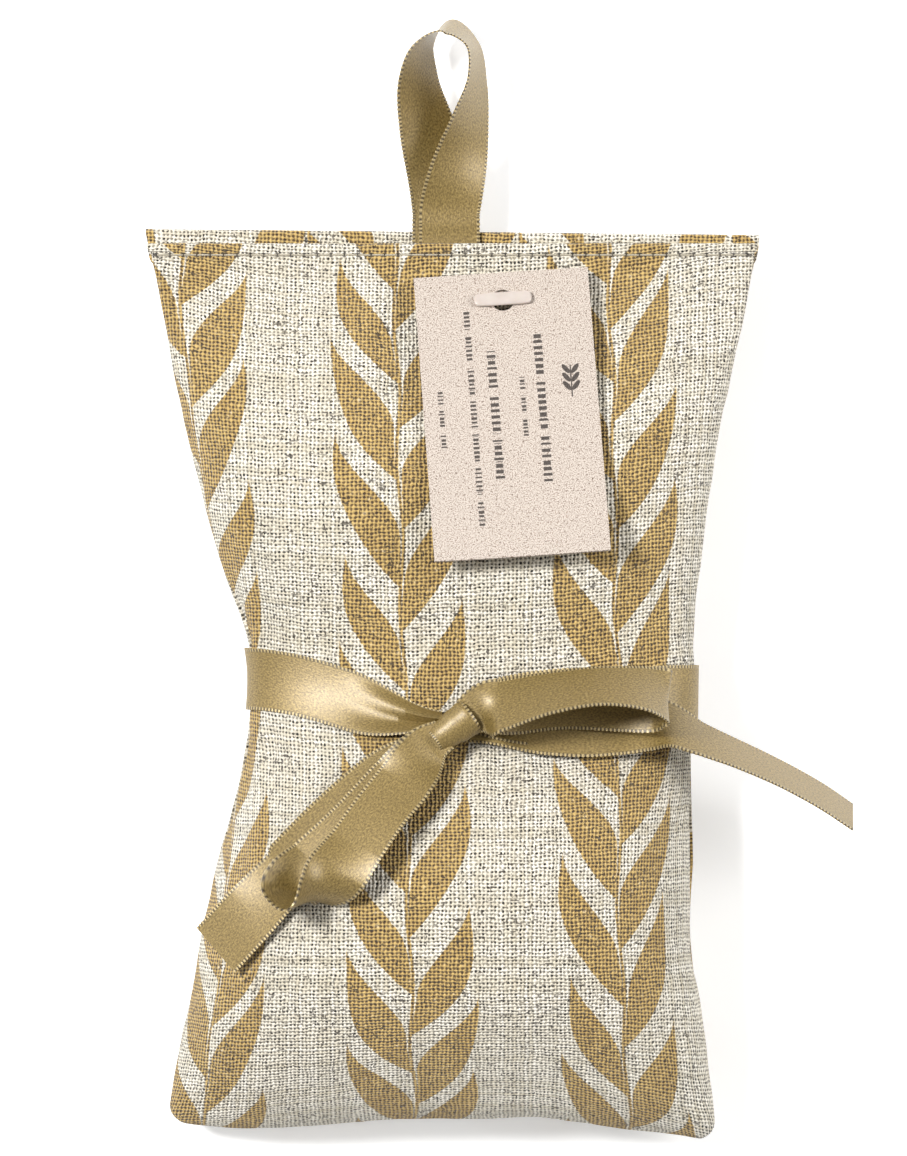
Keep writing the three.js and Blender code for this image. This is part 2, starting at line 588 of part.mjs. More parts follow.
add("bow_tail_right_end", sheet(ribbon([
  overBag(43.4 + TAIL_FLEX, 0.4, TAIL_LIFT + 5.2, [0, 1], -0.82),
  inAir(49.5, -2.2, -9.2, [0.1, 0.5, -0.86]),
  inAir(56, -4.9, -10.6, [0.1, 0.42, -0.9]),
  inAir(65, -9, -12.6, [0.1, 0.38, -0.92]),
  inAir(73.4, -13.6, -14.4, [0.1, 0.37, -0.92]),
  inAir(80, -18, -16, [0.1, 0.36, -0.93]),
], 18, () => RIBBON_WIDTH), RIBBON), satin);
add("bow_tail_left_end", sheet(ribbon([
  overBag(-32 - 0.68 * TAIL_FLEX, -27.8 - 0.74 * TAIL_FLEX, TAIL_LIFT + 0.1, leftAcross),
  overBag(-40, -36.4, TAIL_LIFT + 1.6, leftAcross, 0.4),
  overBag(-46.9, -44, TAIL_LIFT + 4.4, leftAcross, 1.1),
], 10, () => RIBBON_WIDTH), RIBBON), satin);

// Tag: card with a punched hole, turned a little as it hangs.
const holeY = TAG_ABOVE - TAG_HOLE_INSET;
const outline = new THREE.Shape();
outline.moveTo(-TAG_WIDTH / 2, TAG_ABOVE);
outline.lineTo(-TAG_WIDTH / 2, TAG_ABOVE - TAG_LENGTH);
outline.lineTo(TAG_WIDTH / 2, TAG_ABOVE - TAG_LENGTH);
outline.lineTo(TAG_WIDTH / 2, TAG_ABOVE);
const punched = new THREE.Path();
punched.absarc(0, holeY, TAG_HOLE / 2, 0, 2 * Math.PI, true);
outline.holes.push(punched);
const tag = new THREE.ExtrudeGeometry(outline, { depth: TAG_CARD, bevelEnabled: false, curveSegments: 10 });
tag.translate(0, 0, tagLevel);
tag.applyMatrix4(hang);
add("swing_tag", tag, card);

// Fastener: paddle on the tag and filament through its hole and up behind it; then the stub through the
// cloth with the T-bar inside the bag. The filament bends between the two.
function rod(radius, length, x, y, z, way) {
  const piece = new THREE.CylinderGeometry(radius, radius, length, 10);
  if (way === "x") piece.rotateZ(Math.PI / 2);
  if (way === "z") piece.rotateX(Math.PI / 2);
  piece.translate(x, y, z);
  return solidOf(piece);
}
const paddleLevel = tagLevel + TAG_CARD + FIT;
const paddle = new THREE.Shape();
paddle.absarc(PADDLE_LENGTH / 2 - PADDLE_WIDTH / 2, holeY, PADDLE_WIDTH / 2, -Math.PI / 2, Math.PI / 2, false);
paddle.absarc(-PADDLE_LENGTH / 2 + PADDLE_WIDTH / 2, holeY, PADDLE_WIDTH / 2, Math.PI / 2, (3 * Math.PI) / 2, false);
const plate = new THREE.ExtrudeGeometry(paddle, { depth: PADDLE, bevelEnabled: false, curveSegments: 5 });
plate.translate(0, 0, paddleLevel);
const runLevel = tagLevel - FIT - FILAMENT / 2;
const runEnd = -FILAMENT;
const stem = paddleLevel + PADDLE / 2 - runLevel;
const fastener = geometryOf(solidOf(plate)
  .add(rod(FILAMENT / 2, stem, 0, holeY, runLevel + stem / 2, "z"))
  .add(rod(FILAMENT / 2, runEnd - holeY + FILAMENT / 2, 0, (runEnd + holeY - FILAMENT / 2) / 2, runLevel, "y")));
fastener.applyMatrix4(hang);
add("tag_fastener", fastener, plastic);
const barLevel = -CLOTH / 2 - FIT - T_BAR / 2;
const stub = tagLevel - FIT - barLevel;
const anchor = geometryOf(rod(FILAMENT / 2, stub, 0, 0, barLevel + stub / 2, "z")
  .add(rod(T_BAR / 2, T_BAR_LENGTH, 0, 0, barLevel, "x")));
anchor.applyMatrix4(hang);
add("tag_anchor", anchor, plastic);

export default group;
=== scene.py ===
# Lavender sachet: a printed linen bag of dried lavender with a sewn hem and a hanging ribbon, tied round
# the waist with a satin bow, and a card tag on a plastic fastener. It lies on its back, front up.
import json
import math

import bpy
import numpy as np
from mathutils import Matrix, Vector, noise


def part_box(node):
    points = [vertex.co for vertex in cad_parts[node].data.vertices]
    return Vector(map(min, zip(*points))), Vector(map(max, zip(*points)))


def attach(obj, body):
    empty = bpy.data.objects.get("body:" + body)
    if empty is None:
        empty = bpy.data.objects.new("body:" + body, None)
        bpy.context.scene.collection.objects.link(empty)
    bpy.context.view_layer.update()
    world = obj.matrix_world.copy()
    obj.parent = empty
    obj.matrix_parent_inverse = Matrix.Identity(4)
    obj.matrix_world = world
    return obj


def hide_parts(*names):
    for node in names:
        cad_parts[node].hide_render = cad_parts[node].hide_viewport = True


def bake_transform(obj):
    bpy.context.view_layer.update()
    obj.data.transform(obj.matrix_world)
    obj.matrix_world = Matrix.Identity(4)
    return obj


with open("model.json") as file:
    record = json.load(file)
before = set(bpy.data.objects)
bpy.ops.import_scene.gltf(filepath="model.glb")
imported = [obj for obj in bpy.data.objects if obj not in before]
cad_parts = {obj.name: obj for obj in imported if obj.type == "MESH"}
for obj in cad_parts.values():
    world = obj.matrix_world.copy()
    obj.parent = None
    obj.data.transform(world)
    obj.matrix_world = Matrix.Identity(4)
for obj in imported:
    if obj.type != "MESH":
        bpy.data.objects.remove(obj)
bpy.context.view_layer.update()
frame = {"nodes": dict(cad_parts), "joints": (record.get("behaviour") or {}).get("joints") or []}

# The linen bag: two printed panels sewn together at the sides and the foot, turned right side out and filled.
# The seams sit in a shallow valley, the filling swells the belly, and the ribbon draws the waist in.
MM = 0.001
FOOT_Y, BELLY_Y, WAIST_Y, CHEST_Y, HEM_Y = -45.6, 2.0, 46.0, 78.0, 129.0
FRONT_EDGE, BACK_EDGE = 133.6, 135.4
STATIONS = (FOOT_Y, BELLY_Y, WAIST_Y, CHEST_Y, HEM_Y)
TO_THE_TOP = STATIONS + (BACK_EDGE,)
FRONT_CROWN, BACK_CROWN = 29.0, 15.6
CLOTH, CLOTH_BODY, SEAM_GAP, FOOT_CORNER = 0.8, 0.5, 0.3, 4.0
FOOT_POWER, FOOT_FULLNESS, SIDE_FULLNESS, BACK_BOXIER = 2.5, 0.55, 0.54, 0.9
HEM_SLOPE = -0.3
LOOP_X, LOOP_SPREAD, LOOP_TUCK, RIBBON_ROOM = -1.4, 13.0, 6.0, 0.65


def flowing(places, values, end_slope=None):
    """A smooth line through the values that never swings past them."""
    places, values = np.array(places, float), np.array(values, float)
    step = np.diff(values) / np.diff(places)
    last_slope = step[-1:] if end_slope is None else [end_slope]
    slope = np.concatenate([step[:1], np.zeros(len(step) - 1), last_slope])
    for i, (a, b) in enumerate(zip(step[:-1], step[1:])):
        slope[i + 1] = 2 * a * b / (a + b) if a * b > 0 else 0

    def at(y):
        y = np.clip(y, places[0], places[-1])
        i = np.clip(np.searchsorted(places, y) - 1, 0, len(step) - 1)
        h = places[i + 1] - places[i]
        t = (y - places[i]) / h
        return ((2 * t**3 - 3 * t**2 + 1) * values[i] + (t**3 - 2 * t**2 + t) * h * slope[i]
                + (3 * t**2 - 2 * t**3) * values[i + 1] + (t**3 - t**2) * h * slope[i + 1])

    return at


def eased(x, low, high):
    """0 up to low and 1 from high, with a soft step between them."""
    t = np.clip((x - low) / (high - low), 0, 1)
    return t * t * (3 - 2 * t)


left_seam = flowing(TO_THE_TOP, (58, 48.8, 40.4, 49.4, 60.7, 62))
right_seam = flowing(TO_THE_TOP, (53.6, 48.2, 48.6, 51, 61, 62))
seam_height = flowing(TO_THE_TOP, (9, 15, 14.4, 12.8, 9.4, 9.4))
boxiness = flowing(TO_THE_TOP, (2.6, 2.3, 2.3, 2.7, 9, 9))
front_swell = flowing(STATIONS, (0, FRONT_CROWN, 13.6, 16.8, 0), HEM_SLOPE)
back_swell = flowing(STATIONS, (0, BACK_CROWN, 11.2, 13.4, 0), HEM_SLOPE)


def swell(upper, crown, y):
    """How far the filling pushes a panel out along its middle."""
    round_end = np.clip((BELLY_Y - y) / (BELLY_Y - FOOT_Y), 0, 1)
    return np.where(y >= BELLY_Y, upper(y), crown * (1 - round_end**FOOT_POWER) ** FOOT_FULLNESS)


def cloth_x(share, y):
    """The place of a share of the bag's width, from -1 at the left seam to 1 at the right one."""
    d = np.maximum(0, FOOT_CORNER - (y - FOOT_Y))
    corner = np.where(d > 0, FOOT_CORNER - np.sqrt(np.maximum(0, FOOT_CORNER**2 - d**2)), 0)
    left, right = -left_seam(y) + corner, right_seam(y) - corner
    return left + (share + 1) / 2 * (right - left)


def cloth_share(x, y):
    left, right = cloth_x(-1, y), cloth_x(1, y)
    return np.clip(2 * (x - left) / (right - left) - 1, -1, 1)


def hem_opening(x, y):
    """The hem parts a little round the two ends of the hanging ribbon."""
    reach = np.abs(x - LOOP_X) - LOOP_SPREAD / 2
    above = eased(y, BACK_EDGE - LOOP_TUCK - 3, BACK_EDGE - LOOP_TUCK - 1)
    return RIBBON_ROOM * (1 - eased(reach, 0.4, 2)) * above


def plies(y):
    """One ply of cloth, and two in the hem."""
    return CLOTH * (1 + eased(y, HEM_Y - 1, HEM_Y + 1))


def front_height(x, y):
    y = np.clip(y, FOOT_Y, FRONT_EDGE)
    bulge = (1 - np.abs(cloth_share(x, y)) ** boxiness(y)) ** SIDE_FULLNESS
    return (seam_height(y) + SEAM_GAP / 2 + hem_opening(x, y) + plies(y)
            + swell(front_swell, FRONT_CROWN, y) * bulge)


def back_height(x, y):
    y = np.clip(y, FOOT_Y, BACK_EDGE)
    bulge = (1 - np.abs(cloth_share(x, y)) ** (boxiness(y) + BACK_BOXIER)) ** SIDE_FULLNESS
    down = SEAM_GAP / 2 + hem_opening(x, y) + plies(y) + swell(back_swell, BACK_CROWN, y) * bulge
    return np.maximum(0, seam_height(y) - down)


COLUMNS, ROWS = 72, 96
HEM_ROWS_FROM = 131.0
VALLEY, SEAM_STEP, SEAM_RISE = 0.5, 0.05, 0.35


def even_rows():
    """Places along the bag that make rows of even length over the swelling."""
    y = FOOT_Y + (HEM_ROWS_FROM - FOOT_Y) * (1 - np.cos(np.linspace(0, np.pi / 2, 1500)))
    run = np.concatenate([[0], np.cumsum(np.hypot(np.diff(y), np.diff(front_height(0 * y, y))))])
    return np.interp(np.linspace(0, run[-1], ROWS), run, y)


def cross_section(y, height, way):
    """A row of points from seam to seam, rolled into the seam's valley at both ends."""
    share = np.sin(np.linspace(-np.pi / 2, np.pi / 2, 301))
    x = cloth_x(share, y)
    z = height(x, np.full_like(x, y))
    middle = float(seam_height(y))
    x = np.concatenate([[x[0] + VALLEY, x[0] + SEAM_STEP], x, [x[-1] - SEAM_STEP, x[-1] - VALLEY]])
    rolled = middle + way * SEAM_RISE
    z = np.concatenate([[middle, rolled], z, [rolled, middle]])
    run = np.concatenate([[0], np.cumsum(np.hypot(np.diff(x), np.diff(z)))])
    even = np.linspace(0, run[-1], COLUMNS + 1)
    return np.stack([np.interp(even, run, x), np.full(COLUMNS + 1, y), np.interp(even, run, z)], 1)


def panel_shape(height, way, edge):
    """Rows of points over one panel, from the foot seam up to the hem, round its fold and down inside."""
    foot = cross_section(FOOT_Y, height, way)
    foot[:, 0] = np.linspace(foot[0, 0], foot[-1, 0], COLUMNS + 1)
    foot[:, 1], foot[:, 2] = FOOT_Y + VALLEY, seam_height(FOOT_Y)
    rows = [foot] + [cross_section(y, height, way) for y in even_rows()]
    across = np.linspace(-1, 1, COLUMNS + 1)
    fold_y = edge - CLOTH

    def hem_row(y, turn):
        x = cloth_x(across, min(y, edge))
        outer = height(x, np.full_like(x, min(y, fold_y)))
        inner = seam_height(edge) + way * (SEAM_GAP / 2 + hem_opening(x, np.full_like(x, fold_y)))
        z = (outer + inner) / 2 + (outer - inner) / 2 * math.cos(turn)
        return np.stack([x, np.full_like(x, y + CLOTH * math.sin(turn)), z], 1)

    rows += [hem_row(y, 0) for y in np.linspace(HEM_ROWS_FROM, fold_y, 3)[1:]]
    rows += [hem_row(fold_y, a) for a in np.linspace(0, np.pi, 8)[1:]]
    rows += [hem_row(y, np.pi) for y in (fold_y - 1.5, fold_y - 3.5)]
    return np.array(rows)


front_shape = panel_shape(front_height, 1, FRONT_EDGE)
back_shape = panel_shape(back_height, -1, BACK_EDGE)


def cut_place(shape):
    """Where each point lies on the flat cloth, in millimetres across and along."""
    across = np.linalg.norm(np.diff(shape, axis=1), axis=2)
    u = np.concatenate([np.zeros((len(shape), 1)), np.cumsum(across, axis=1)], 1)
    middle = np.array([np.interp(0, row[:, 0], run) for row, run in zip(shape, u)])
    along = np.linalg.norm(np.diff(shape, axis=0), axis=2)
    v = np.concatenate([np.zeros((1, shape.shape[1])), np.cumsum(along, axis=0)], 0)
    belly = np.argmin(np.abs(shape[:, COLUMNS // 2, 1] - BELLY_Y))
    return np.stack([u - middle[:, None], v - v[belly]], 2)


front_cut, back_cut = cut_place(front_shape), cut_place(back_shape)
BAG_WIDTH, BACK_HEM_TILT, BACK_PRINT_AT = 124, 1.2, (17.0, 25.0)
foot_sag = flowing((-56, -40, -6, 16, 36, 50), (2.4, 1, 2.8, 2.7, 0.6, -1.4))


def foot_line(shape):
    """The foot seam isn't quite straight: it sags towards the right corner."""
    return foot_sag(shape[..., 0]) * eased(-shape[..., 1], 8, -FOOT_Y)


front_shape[..., 1] += foot_line(front_shape)
back_shape[..., 1] += foot_line(back_shape)
hem_tilt = BACK_HEM_TILT * (0.5 - back_shape[..., 0] / BAG_WIDTH)
back_shape[..., 1] += hem_tilt * eased(back_shape[..., 1], 124, 134)
back_cut += BACK_PRINT_AT
BOW_PATCH, TAG_PATCH = (4, 26, 46, 34), (11, 98, 22, 36)
BAND_Y, GATHER_DEPTH, BACK_GATHERS = WAIST_Y - 3, 1.5, 0.5
WAIST_SPARE, EASE_ACROSS, EASE_ALONG, SETTLING_STEPS = 0.13, 0.012, 1.008, 20
CAP_UNDER_TRIM, CAP_FREE, CAP_INWARDS = 0.1, 1.3, 2.2


def clear_of_trim(x, y):
    """0 under the bow, its tails and the tag, which lie close on the cloth, and 1 away from them."""
    bow, tag = (np.maximum(np.abs(x - mid_x) - half_x, np.abs(y - mid_y) - half_y)
                for mid_x, mid_y, half_x, half_y in (BOW_PATCH, TAG_PATCH))
    return eased(np.minimum(bow, tag), 0, 9)


def gathers(cut, shape):
    """Soft pleats that run up and down from the waist ribbon, pressed flat under it."""
    from_band = np.abs(shape[..., 1] - BAND_Y)
    depth = GATHER_DEPTH * eased(from_band, 5, 11) * np.exp(-np.maximum(0, from_band - 9) / 15)
    u = cut[..., 0]
    pleat = 0.5 + 0.5 * np.sin(u / 1.55 + 1.3 * np.sin(u / 7.3) + 0.04 * from_band * np.sin(u / 11))
    return depth * pleat**1.6 * (0.55 + 0.45 * np.sin(u / 9.1 + 0.6))


def outwards(shape):
    """The way that each point of a panel faces."""
    du, dv = np.gradient(shape, axis=1), np.gradient(shape, axis=0)
    n = np.cross(du, dv)
    return n / np.maximum(1e-9, np.linalg.norm(n, axis=2, keepdims=True))


def settled(front, back):
    """The filling presses the cloth out while the ribbon and the hem hold it: a short cloth simulation."""
    rows = ROWS + 1
    count = COLUMNS + 1
    front_id = np.arange(front.shape[0] * count).reshape(-1, count)
    back_id = front_id.max() + 1 + np.arange(back.shape[0] * count).reshape(-1, count)
    back_id[:rows, 0], back_id[:rows, -1], back_id[0] = front_id[:rows, 0], front_id[:rows, -1], front_id[0]
    points = np.zeros((max(front_id.max(), back_id.max()) + 1, 3))
    points[front_id], points[back_id] = front, back
    used, compact = np.unique(np.concatenate([front_id.ravel(), back_id.ravel()]), return_inverse=True)
    front_id = compact[:front_id.size].reshape(front_id.shape)
    back_id = compact[front_id.size:].reshape(back_id.shape)
    points = points[used]
    faces = []
    for ids, turned in ((front_id, False), (back_id, True)):
        quads = np.stack([ids[:-1, :-1], ids[:-1, 1:], ids[1:, 1:], ids[1:, :-1]], 2).reshape(-1, 4)
        faces += (quads[:, ::-1] if turned else quads).tolist()
    mesh = bpy.data.meshes.new("settling_cloth")
    mesh.from_pydata(points * MM, [], faces)
    cloth = bpy.data.objects.new("settling_cloth", mesh)
    bpy.context.scene.collection.objects.link(cloth)
    cloth.shape_key_add(name="worn")
    cut = cloth.shape_key_add(name="cut")
    spare = 1 + WAIST_SPARE * np.exp(-((points[:, 1] - WAIST_Y) / 17) ** 2) + EASE_ACROSS
    stretch = np.stack([spare, 0 * spare + EASE_ALONG, 0 * spare + 1], 1)
    cut.data.foreach_set("co", (points * stretch * MM).ravel())
    held = cloth.vertex_groups.new(name="held")
    grip = np.maximum(eased(points[:, 1], 121, 129), 1 - eased(np.abs(points[:, 1] - BAND_Y), 6, 11))
    grip = np.maximum(grip, 1 - eased(points[:, 2], 0.4, 1.4))
    for i in np.flatnonzero(grip > 0.01):
        held.add([int(i)], float(grip[i]), "REPLACE")
    fabric = cloth.modifiers.new("Cloth", "CLOTH")
    s = fabric.settings
    s.quality, s.mass, s.air_damping = 6, 0.05, 2
    s.tension_stiffness = s.compression_stiffness = 12
    s.shear_stiffness, s.bending_stiffness = 4, 0.04
    s.use_pressure, s.uniform_pressure_force = True, 4
    s.effector_weights.gravity = 0
    s.vertex_group_mass, s.pin_stiffness = held.name, 1
    s.rest_shape_key = cut
    fabric.point_cache.frame_start, fabric.point_cache.frame_end = 1, SETTLING_STEPS
    for step in range(1, SETTLING_STEPS + 1):
        bpy.context.scene.frame_set(step)
    posed = cloth.evaluated_get(bpy.context.evaluated_depsgraph_get())
    moved = np.empty(len(points) * 3)
    posed.data.vertices.foreach_get("co", moved)
    moved = moved.reshape(-1, 3) / MM
    bpy.data.objects.remove(cloth)
    bpy.data.meshes.remove(mesh)
    bpy.context.scene.frame_set(1)
    return moved[front_id], moved[back_id]


def lumps(place):
    """The filling shows through the cloth as soft lumps of two sizes."""
    return noise.noise(Vector(place) / 13.0) + 0.4 * noise.noise(Vector(place) / 5.0)


def finished_panel(shape, simulated, way):
    """The settled cloth, held within a cap of its cut shape, with the lumps of the filling."""
    face = outwards(shape) * way
    move = simulated - shape
    out = (move * face).sum(2)
    room = clear_of_trim(shape[..., 0], shape[..., 1]) if way > 0 else np.ones(out.shape)
    limit = np.where(out > 0, CAP_UNDER_TRIM + CAP_FREE * room, CAP_INWARDS)
    size = np.linalg.norm(move, axis=2)
    move *= np.minimum(1, limit / np.maximum(size, 1e-6))[..., None]
    lump = np.array([[lumps(place) for place in row] for row in shape])
    loose = eased(HEM_Y - 6 - shape[..., 1], 0, 10) * eased(np.abs(shape[..., 1] - BAND_Y), 6, 12)
    lump = loose * (0.45 * lump - 0.5 * (1 - room))
    worn = shape + move + face * lump[..., None]
    worn[..., 2] = np.maximum(worn[..., 2], 0.02)
    return worn


front_start = front_shape - outwards(front_shape) * gathers(front_cut, front_shape)[..., None]
back_start = back_shape + outwards(back_shape) * BACK_GATHERS * gathers(back_cut, back_shape)[..., None]
front_moved, back_moved = settled(front_start, back_start)
front_worn = finished_panel(front_shape, front_moved, 1)
back_worn = finished_panel(back_shape, back_moved, -1)


def cloth_grid(name, places, cut):
    """A grid of cloth with its places in millimetres and its flat places as the map named cut."""
    rows, columns = places.shape[:2]
    bpy.ops.object.select_all(action="DESELECT")
    bpy.ops.mesh.primitive_grid_add(x_subdivisions=columns - 1, y_subdivisions=rows - 1, size=1)
    piece = bpy.context.object
    piece.name = piece.data.name = name
    at = np.empty(len(piece.data.vertices) * 3)
    piece.data.vertices.foreach_get("co", at)
    at = at.reshape(-1, 3)
    i = np.rint((at[:, 0] + 0.5) * (columns - 1)).astype(int)
    j = np.rint((at[:, 1] + 0.5) * (rows - 1)).astype(int)
    piece.data.vertices.foreach_set("co", (places[j, i] * MM).ravel())
    corner = np.empty(len(piece.data.loops), np.int32)
    piece.data.loops.foreach_get("vertex_index", corner)
    piece.data.uv_layers[0].name = "cut"
    piece.data.uv_layers["cut"].data.foreach_set("uv", cut[j, i][corner].ravel())
    piece.data.update()
    return piece


def thickened(piece, thickness, offset, smooth=0):
    """Gives a sheet its body: one smoothing where asked, then the thickness."""
    bpy.context.view_layer.objects.active = piece
    if smooth:
        rounder = piece.modifiers.new("rounder", "SUBSURF")
        rounder.levels = rounder.render_levels = smooth
        rounder.uv_smooth = "PRESERVE_BOUNDARIES"
        bpy.ops.object.modifier_apply(modifier="rounder")
    body = piece.modifiers.new("body", "SOLIDIFY")
    body.thickness, body.offset, body.use_even_offset = thickness * MM, offset, False
    bpy.ops.object.modifier_apply(modifier="body")
    bpy.ops.object.select_all(action="DESELECT")
    piece.select_set(True)
    bpy.ops.object.shade_smooth_by_angle(angle=math.radians(50))


front_cloth = cloth_grid("front_cloth", front_worn, front_cut)
back_cloth = cloth_grid("back_cloth", back_worn[:, ::-1], back_cut[:, ::-1])
for panel in (front_cloth, back_cloth):
    thickened(panel, CLOTH_BODY, -1, smooth=1)


def plain(r, g, b):
    """A colour as a colour card gives it, for a shader."""
    return tuple(((c / 255 + 0.055) / 1.055) ** 2.4 if c > 10 else c / 3294 for c in (r, g, b)) + (1,)


class Dye:
    """One number of a finish, worked out at every spot."""

    def __init__(self, tree, socket):
        self.tree, self.socket = tree, socket

    def work(self, way, *others):
        node = self.tree.nodes.new("ShaderNodeMath")
        node.operation = way
        for slot, value in zip(node.inputs, (self, *others)):
            if isinstance(value, Dye):
                self.tree.links.new(value.socket, slot)
            else:
                slot.default_value = value
        return Dye(self.tree, node.outputs[0])

    def __add__(self, other):
        return self.work("ADD", other)

    def __sub__(self, other):
        return self.work("SUBTRACT", other)

    def __rsub__(self, other):
        return self.work("MULTIPLY_ADD", -1.0, other)

    def __mul__(self, other):
        return self.work("MULTIPLY", other)

    def __truediv__(self, other):
        return self.work("DIVIDE", other)

    def __pow__(self, other):
        return self.work("POWER", other)

    def wave(self):
        return (self * math.tau).work("COSINE")

    def ramp(self, low, high):
        node = self.tree.nodes.new("ShaderNodeMapRange")
        node.interpolation_type = "SMOOTHSTEP"
        self.tree.links.new(self.socket, node.inputs["Value"])
        node.inputs["From Min"].default_value, node.inputs["From Max"].default_value = low, high
        return Dye(self.tree, node.outputs["Result"])


def spot(tree, *numbers):
    node = tree.nodes.new("ShaderNodeCombineXYZ")
    for slot, value in zip(node.inputs, numbers):
        if isinstance(value, Dye):
            tree.links.new(value.socket, slot)
        else:
            slot.default_value = value
    return node.outputs[0]


def cloud(tree, place, size, detail=2.0):
    node = tree.nodes.new("ShaderNodeTexNoise")
    tree.links.new(place, node.inputs["Vector"])
    node.inputs["Scale"].default_value, node.inputs["Detail"].default_value = 1 / size, detail
    return Dye(tree, node.outputs["Fac"])


def chance(tree, number):
    node = tree.nodes.new("ShaderNodeTexWhiteNoise")
    node.noise_dimensions = "1D"
    tree.links.new(number.socket, node.inputs["W"])
    return Dye(tree, node.outputs["Value"])


def blended(tree, share, first, second):
    node = tree.nodes.new("ShaderNodeMix")
    node.data_type = "RGBA"
    tree.links.new(share.socket, node.inputs["Factor"])
    for slot, colour in ((node.inputs[6], first), (node.inputs[7], second)):
        if isinstance(colour, tuple):
            slot.default_value = colour
        else:
            tree.links.new(colour, slot)
    return node.outputs[2]


def new_finish(name, roughness, **sockets):
    material = bpy.data.materials.new(name)
    material.use_nodes = True
    shader = material.node_tree.nodes["Principled BSDF"]
    shader.inputs["Roughness"].default_value = roughness
    for socket, value in sockets.items():
        shader.inputs[socket.replace("_", " ")].default_value = value
    return material, material.node_tree, shader


def dyed(piece, material):
    """Gives a piece one finish all over."""
    piece.data.materials.clear()
    piece.data.materials.append(material)


def numbers(tree, place):
    """The three numbers of a place, for a finish to work with."""
    parts = tree.nodes.new("ShaderNodeSeparateXYZ")
    tree.links.new(place, parts.inputs[0])
    return [Dye(tree, number) for number in parts.outputs]


def cut_numbers(tree):
    """A spot's place on the flat cloth, in millimetres."""
    flat = tree.nodes.new("ShaderNodeUVMap")
    flat.uv_map = "cut"
    return numbers(tree, flat.outputs[0])[:2]


def object_spot(tree):
    return tree.nodes.new("ShaderNodeTexCoord").outputs["Object"]


def raised(tree, shader, height, depth, strength=1.0):
    """Relief of a depth in millimetres."""
    bump = tree.nodes.new("ShaderNodeBump")
    bump.inputs["Distance"].default_value = depth * MM
    bump.inputs["Strength"].default_value = strength
    tree.links.new(height.socket, bump.inputs["Height"])
    tree.links.new(bump.outputs[0], shader.inputs["Normal"])


# The bag's cloth: oatmeal linen and cotton in plain weave with dark flax flecks, block printed in ochre with
# leafy stems. A leaf is given as its side of the stem, its foot, its length and how far it reaches.
YARN_ACROSS, YARN_ALONG = 0.82, 0.78
STITCH_PITCH, STITCH_Y, THREAD, STITCH_MARGIN = 2.7, 131.2, 0.36, 1.6
FIRST_STITCH = float(cloth_x(-1, STITCH_Y)) + STITCH_MARGIN
STEM_PITCH, SPRIG, STEM, STEM_LEAN, NEXT_STEM_UP = 43.0, 64.0, 0.34, 0.022, 23.5
LEAVES = ((1, 0, 33, 13), (1, 21, 31, 14), (1, 42, 29, 13.5),
          (-1, 9, 32, 13.5), (-1, 31, 31, 14), (-1, 52, 28, 12.5))
# The valley colours are painted shade for the dips between the yarn crowns.
PALE_YARN, DARK_YARN, YARN_VALLEY_SHADE = plain(250, 244, 231), plain(208, 198, 175), plain(168, 156, 130)
DARK_INK, PALE_INK, INK_VALLEY_SHADE = plain(174, 140, 70), plain(218, 187, 116), plain(98, 68, 22)
# Painted shade: the openings of the weave are coloured near black, over bare cloth and print alike.
CLOTH_HOLE_SHADE, INK_HOLE_SHADE = plain(18, 14, 9), plain(54, 34, 8)
FLAX, NEEDLE_HOLE_SHADE = plain(50, 40, 28), plain(40, 31, 20)

linen, tree, shader = new_finish("printed_linen", 0.9, Sheen_Weight=0.15, Sheen_Roughness=0.6)
u, v = cut_numbers(tree)
place = spot(tree, u, v)
sway = cloud(tree, place, 7) - 0.5
jitter_u = cloud(tree, spot(tree, u, v, 40.0), 1.7) - 0.5
jitter_v = cloud(tree, spot(tree, u, v, 80.0), 1.7) - 0.5
yarn_u = (u + sway * 0.9 + jitter_u * 0.7) / YARN_ACROSS
yarn_v = (v + sway * 0.9 + jitter_v * 0.7) / YARN_ALONG
crown_u, crown_v = yarn_u.wave(), yarn_v.wave()
slack = cloud(tree, place, 1.3)
hole = (crown_u + crown_v + slack * 1.4) * -1
shaded_gap = hole.ramp(-0.5, 0.5) * (1 - slack.ramp(0.36, 0.64) * 0.5)
# valley is where the yarns dip between their crowns; the colour is darkened there as painted shade of the
# weave's relief.
valley = hole.ramp(-1.7, 0.3)
tone = chance(tree, (yarn_u + 0.5).work("FLOOR")) + chance(tree, (yarn_v + 171.5).work("FLOOR"))
over = (yarn_u * 0.5).wave() * (yarn_v * 0.5).wave()

ragged = cloud(tree, place, 0.7) - 0.5
along = v + ragged * 0.7
lean = u + along * STEM_LEAN + ragged * 0.6 + (along / 31).wave() * 0.5 + 8.6
stem_no = (lean / STEM_PITCH + 0.5).work("FLOOR")
across = lean - stem_no * STEM_PITCH
along = along + stem_no * NEXT_STEM_UP + 6
printed = (STEM - across.work("ABSOLUTE")).ramp(-0.15, 0.15)
for side, foot, length, reach in LEAVES:
    t = (along - foot).work("FLOORED_MODULO", SPRIG) / length
    grown = t.work("MINIMUM", 0.999)
    from_stem = across * side
    inner = (grown.ramp(0.35, 1.0) * 0.77 + grown * 0.15) * reach
    outer = (1 - (1 - grown) ** 2.7 - grown**3 * 0.08) * reach
    leaf = (from_stem - inner).work("MINIMUM", outer - from_stem).ramp(-0.12, 0.16)
    printed = printed.work("MAXIMUM", leaf * t.work("LESS_THAN", 1.0))

